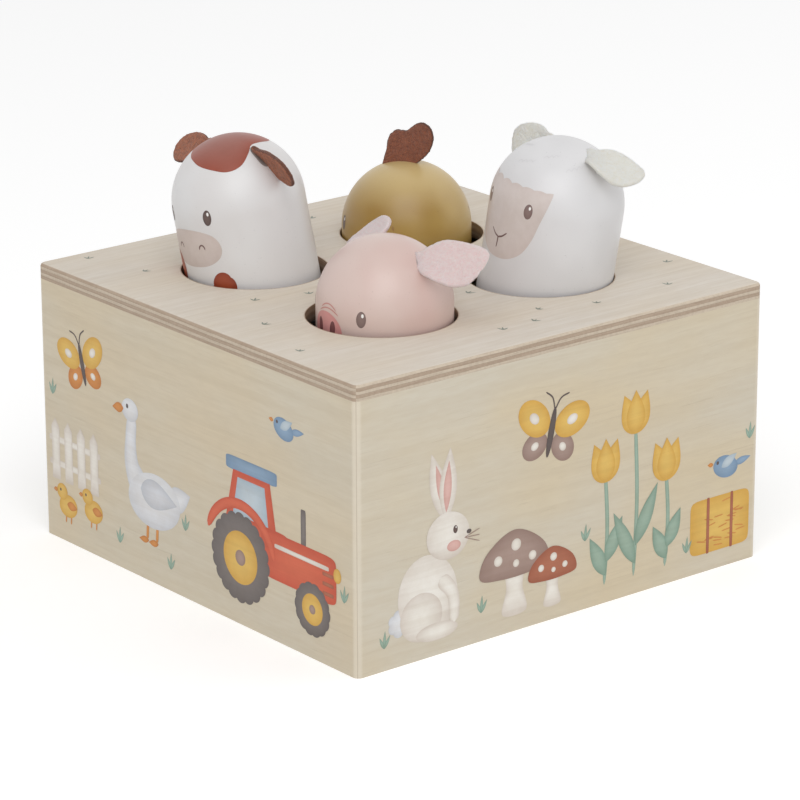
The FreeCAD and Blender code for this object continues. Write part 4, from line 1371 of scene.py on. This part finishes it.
# %% Picture for the animals' left side
def rabbit(picture):
    """A cream rabbit that sits and looks to the right."""
    picture.fill(curls(-64.0, 13.5, 4.6, 4.4, 7, 0.16), SNOW)
    for lean in (14, -4):
        picture.fill(leaf(-46.5, 41.0, 23.0, 6.6, 90 + lean, fullness=0.9), CREAM, rings=8)
        picture.fill(leaf(-46.5, 44.0, 16.0, 3.0, 90 + lean, fullness=0.9), PINK)
    picture.fill(oval(-53.5, 19.5, 11.2, 13.0, 12), CREAM, light=tone(243, 239, 232), rings=12)
    picture.fill(oval(-56.0, 13.4, 8.0, 7.6), CREAM, rings=8)
    picture.fill(oval(-50.0, 7.6, 8.0, 2.8), CREAM)
    picture.line(through([(-48.6, 24.0), (-44.0, 18.0), (-43.4, 9.0)]), (5.4, 4.4, 4.0), CREAM)
    picture.fill(oval(-45.8, 36.6, 8.2, 7.4, -8), CREAM, light=tone(243, 239, 232), rings=12)
    picture.fill(oval(-43.6, 33.0, 2.6, 1.7), PINK)
    eye(picture, -43.0, 38.0, 1.7, 2.5)
    picture.fill(oval(-37.8, 36.2, 0.9, 0.7), DARK, rings=3)
    for rise in (-2.0, 0.0, 2.0):
        picture.line(np.linspace((-39.6, 34.6), (-33.6, 34.2 + rise), 12), 0.28, MAUVE)


def left_picture():
    """A rabbit, toadstools, a butterfly, three tulips and a bale of hay."""
    picture = Picture()
    rabbit(picture)
    toadstool(picture, -20, 6, 27, MAUVE)
    toadstool(picture, -5, 5, 19, RUST)
    butterfly(picture, -6, 60, 17, YELLOW, MAUVE, -12)
    for x, high in ((16, 36), (28, 49), (41, 31)):
        tulip(picture, x, 6, high, YELLOW)
    board(picture, 64, 15, 12.5, 9.0, YELLOW)
    rng = np.random.default_rng(21)
    for x, y in rng.uniform((54, 8), (71, 22), (22, 2)):
        picture.line(np.linspace((x, y), (x + 4.0, y + rng.uniform(-1, 1)), 8), 0.4, ORANGE)
    for x in (59, 69):
        board(picture, x, 15, 0.6, 9.2, RUST)
    bird(picture, 66, 33, 12, BLUE, -1)
    for x, y in ((-70, 7), (-33, 9), (8, 22), (50, 8), (76, 40)):
        tuft(picture, x, y)
    return picture


print("the left side has", len(left_picture().faces), "strokes")

# %% Pictures for the back and the right side
def back_picture():
    """An apple tree, a fence, a ladybird and two tulips."""
    picture = Picture()
    fence(picture, -12, 8, 5)
    picture.line(through([(-46, 6), (-47, 22), (-44, 44)]), (8.0, 5.6, 4.4), MAUVE)
    picture.line(through([(-46, 24), (-54, 36), (-58, 44)]), (4.0, 2.6), MAUVE)
    picture.fill(curls(-46, 55, 27, 22, 11, 0.10), SAGE, light=tone(176, 196, 182), rings=12)
    for x, y in ((-60, 50), (-49, 63), (-36, 56), (-52, 44), (-30, 47), (-41, 70), (-64, 62)):
        picture.fill(oval(x, y, 2.8, 2.7), RED)
        picture.fill(leaf(x, y + 2.2, 3.2, 1.4, 40), SAGE, rings=3)
    picture.fill(oval(42, 54, 7.0, 6.0, 20), RED, rings=8)
    picture.fill(oval(49.4, 57.4, 2.8, 2.8), DARK)
    for x, y in ((39, 55), (43, 51), (44, 57)):
        picture.fill(oval(x, y, 1.1, 1.1), DARK, rings=3)
    for x, high in ((46, 34), (60, 45)):
        tulip(picture, x, 6, high, PINK)
    bird(picture, 8, 38, 13, BLUE)
    for x, y in ((-70, 8), (-24, 7), (34, 9), (74, 10)):
        tuft(picture, x, y)
    return picture


def right_picture():
    """A watering can between tulips, a toadstool and a butterfly."""
    picture = Picture()
    picture.line(through([(8, 18), (22, 26), (30, 40)]), (6.0, 4.0, 3.0), BLUE)
    picture.fill(oval(31.5, 41.5, 5.4, 2.2, -28), PALE_BLUE)
    picture.line(through([(-20, 30), (-32, 32), (-31, 18), (-20, 14)]), 2.4, BLUE)
    board(picture, -6, 21, 14.5, 13.5, BLUE)
    board(picture, -6, 33.4, 12.0, 1.4, PALE_BLUE)
    for x, high, color in ((-66, 48, RED), (-52, 34, YELLOW), (50, 30, RED), (64, 44, YELLOW)):
        tulip(picture, x, 6, high, color)
    toadstool(picture, 36, 6, 18, RUST)
    butterfly(picture, 2, 60, 18, BLUE, PALE_BLUE, 10)
    for x, y in ((-40, 8), (22, 7), (76, 9), (-74, 24)):
        tuft(picture, x, y)
    return picture


print("the back has", len(back_picture().faces), "strokes, the right side", len(right_picture().faces))

# %% [markdown]
# ## Print the panels
#
# Each picture goes on its panel from outside: the surface function sends across to the panel's own
# right and lifts the ink along the panel's outward direction. The plate carries only scattered tufts,
# small enough to be read as grass around the animals. They keep clear of the holes and of each other.

# %% Print the panels and the plate
PANELS = {
    # the outward direction, the viewer's right, the picture and the ink
    "front_panel": ((-1, 0), (0, -1), front_picture, ink_y),
    "left_panel": ((0, -1), (1, 0), left_picture, ink_x),
    "back_panel": ((1, 0), (0, 1), back_picture, ink_y),
    "right_panel": ((0, 1), (-1, 0), right_picture, ink_x),
}


def upright_panel(outward, right):
    """Surface function: out (half the box + lift) + right across in plan, and up is the height."""
    def surface(across, up, lift):
        plan = np.outer(HALF_BOX / MM + lift, outward) + np.outer(across, right)
        return np.c_[plan, up]
    return surface


for name, (outward, right, draw, color) in PANELS.items():
    piece = draw().print_on(name + "_print", upright_panel(outward, right), color, "box", "plywood")
    print(piece.name, len(piece.data.polygons), "faces")

TUFTS = 26
TUFT_REACH = 73.0
TUFT_FROM_HOLE = 27.0
TUFT_APART = 11.0
holes = np.array([(x, y) for x in (-1, 1) for y in (-1, 1)]) * HOLE_MIDDLE / MM
rng = np.random.default_rng(5)
tufts = np.zeros((0, 2))
while len(tufts) < TUFTS:
    spot = rng.uniform(-TUFT_REACH, TUFT_REACH, 2)
    from_hole = np.linalg.norm(holes - spot, axis=1).min()
    apart = np.linalg.norm(tufts - spot, axis=1)
    if from_hole > TUFT_FROM_HOLE and (apart > TUFT_APART).all():
        tufts = np.vstack([tufts, spot])
grass = Picture()
for x, y in tufts:
    turn = rng.uniform(-70, -20)
    for lean in (-38, 2, 44):
        grass.fill(leaf(x, y, rng.uniform(2.0, 3.2), 0.6, 90 - lean + turn, points=16),
                   ink((138, 146, 134), (122, 132, 120)), rings=3)
piece = grass.print_on("plate_print", lambda across, up, lift: np.c_[across, up, PLATE_TOP / MM + lift],
                       ink_x, "box", "plywood")
print(piece.name, "has", len(tufts), "tufts")

# %% [markdown]
# ## Springs
#
# A compression spring is a helix of wire whose last turn at each end lies flat on the one before, so
# that it stands square. The tube is a circle of wire carried along the helix. It rides with the ball
# on its top end.

# %% Wind the springs
COIL_RADIUS = 6.9
WIRE_RADIUS = 0.6
BALL_RADIUS = 9.0
FREE_TURNS = 8.0
DEAD_TURNS = 1.25
SEAT_TOP = 9.0
STEPS_PER_TURN = 36
SMOOTHED_STEPS = 25
BALL_GAP = 0.1
SEAT_GAP = 0.3


def coil(length):
    """Points of a wound wire: (R cos a, R sin a, z), where z rises by a wire's width per turn in the
    dead turns at the ends and evenly between them, and a circle of wire round each point."""
    turns = FREE_TURNS + 2 * DEAD_TURNS
    turn = np.linspace(0, turns, int(turns * STEPS_PER_TURN))
    dead_rise = DEAD_TURNS * 2.1 * WIRE_RADIUS
    knots = [0, DEAD_TURNS, turns - DEAD_TURNS, turns]
    rise = np.interp(turn, knots, [0, dead_rise, length - dead_rise, length])
    rise = np.convolve(np.pad(rise, SMOOTHED_STEPS // 2, mode="edge"),
                       np.ones(SMOOTHED_STEPS) / SMOOTHED_STEPS, mode="valid")
    angle = 2 * math.pi * turn
    line = np.stack([COIL_RADIUS * np.cos(angle), COIL_RADIUS * np.sin(angle), rise], axis=1)
    tangent = np.gradient(line, axis=0)
    tangent /= np.linalg.norm(tangent, axis=1, keepdims=True)
    outward = np.stack([np.cos(angle), np.sin(angle), 0 * angle], axis=1)
    upward = np.cross(tangent, outward)
    round_wire = np.linspace(0, 2 * math.pi, 15)
    radius = WIRE_RADIUS * np.ones((len(line), 1, 1))
    radius[0] = radius[-1] = 0
    return line[:, None] + radius * (np.cos(round_wire)[:, None] * outward[:, None]
                                     + np.sin(round_wire)[:, None] * upward[:, None])


for animal, stand in STANDS.items():
    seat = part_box(animal + "_spring_seat")
    foot = np.array([(seat[0].x + seat[1].x) / 2, (seat[0].y + seat[1].y) / 2, SEAT_TOP * MM]) / MM
    below = math.sqrt((BALL_RADIUS + WIRE_RADIUS + BALL_GAP) ** 2 - COIL_RADIUS ** 2)
    start = WIRE_RADIUS + SEAT_GAP
    length = np.linalg.norm(stand.ball - foot) - start - below
    aim = np.array(leaning(stand.ball - foot))
    points = (coil(length) + (0, 0, start)) @ aim.T + foot
    piece = make_piece(animal + "_coil", points, grid_faces(*points.shape[:2]), [spring_wire],
                       animal + "_sprung", sharp=60.0)
    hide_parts(animal + "_spring")
    travel = abs(JOINTS[animal + "_press"]["range_m"][0]) / MM
    animal + "_press"
    (length - travel) / length
    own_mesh(piece)
    print(piece.name, round(length, 1), "mm long, goes down", round(travel, 1), "mm")

# %% [markdown]
# ## The pig's ears
#
# The pig goes down so far that its ears meet the edge of the hole. Real felt folds up against the
# head there. Here each ear only gets a mesh of its own.

# %% Give the pig's ears meshes of their own
for name in ("pig_left_ear", "pig_right_ear"):
    piece, origin, rows = ears[name]
    stand = STANDS["pig"]
    root = stand.place(origin) * MM
    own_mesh(piece)
    print(piece.name, "folds towards", root.round(4))

# %% [markdown]
# ## Light and floor
#
# A large soft box to the upper left and a weaker one to the right give the toy its soft shading, and
# a pale world fills the shadows. The floor is a pale sheet. Camera, glossy and transmission rays see a
# little glow in it, so that it reads as white, and the toy's shadow still falls on it.

# %% Lights
def soft_box(name, place, size, power):
    """A square lamp that faces the toy."""
    lamp = bpy.data.objects.new(name, bpy.data.lights.new(name, "AREA"))
    lamp.data.size = size
    lamp.data.energy = power
    lamp.location = place
    lamp.rotation_euler = (Vector((0, 0, 0.06)) - Vector(place)).to_track_quat("-Z", "Y").to_euler()
    bpy.context.scene.collection.objects.link(lamp)


def looked_at(recipe):
    """1 for the rays that show the room: those of the camera, of gloss and of glass."""
    rays = recipe.add("LightPath")
    return recipe.math("MAXIMUM", rays["Is Camera Ray"],
                       recipe.math("MAXIMUM", rays["Is Glossy Ray"], rays["Is Transmission Ray"]))


soft_box("key", (-0.75, -0.85, 1.25), 1.3, 11.0)
soft_box("side", (1.3, -0.7, 0.8), 1.2, 3.5)
WORLD_FILL = 0.62

world = bpy.data.worlds.new("pale room")
world.use_nodes = True
bpy.context.scene.world = world
world.node_tree.nodes.clear()
room = Recipe(world.node_tree)
fill, white = (room.add("Background", {"Color": (1, 1, 1, 1), "Strength": strength})
               for strength in (WORLD_FILL, 1.0))
sky = world.node_tree.nodes.new("ShaderNodeOutputWorld").inputs["Surface"]
room.feed(sky, room.add("MixShader", {0: looked_at(room), 1: fill, 2: white}))
print("world fill", WORLD_FILL)

# %% Floor
FLOOR_HALF = 6.0
FLOOR_GLOW = 0.28
paper = Finish("white floor")
paper.own(Base_Color=(0.86, 0.86, 0.86, 1), Roughness=0.9, Specular_IOR_Level=0.0,
          Emission_Color=(1, 1, 1, 1))
paper.feed(paper.shader.inputs["Emission Strength"], looked_at(paper) * FLOOR_GLOW)
mesh = bpy.data.meshes.new("floor")
corners = [(x * FLOOR_HALF, y * FLOOR_HALF, 0) for x, y in ((-1, -1), (1, -1), (1, 1), (-1, 1))]
mesh.from_pydata(corners, [], [(0, 1, 2, 3)])
mesh.materials.append(paper.material)
floor = bpy.data.objects.new("floor", mesh)
bpy.context.scene.collection.objects.link(floor)
print("floor is", 2 * FLOOR_HALF, "m wide")
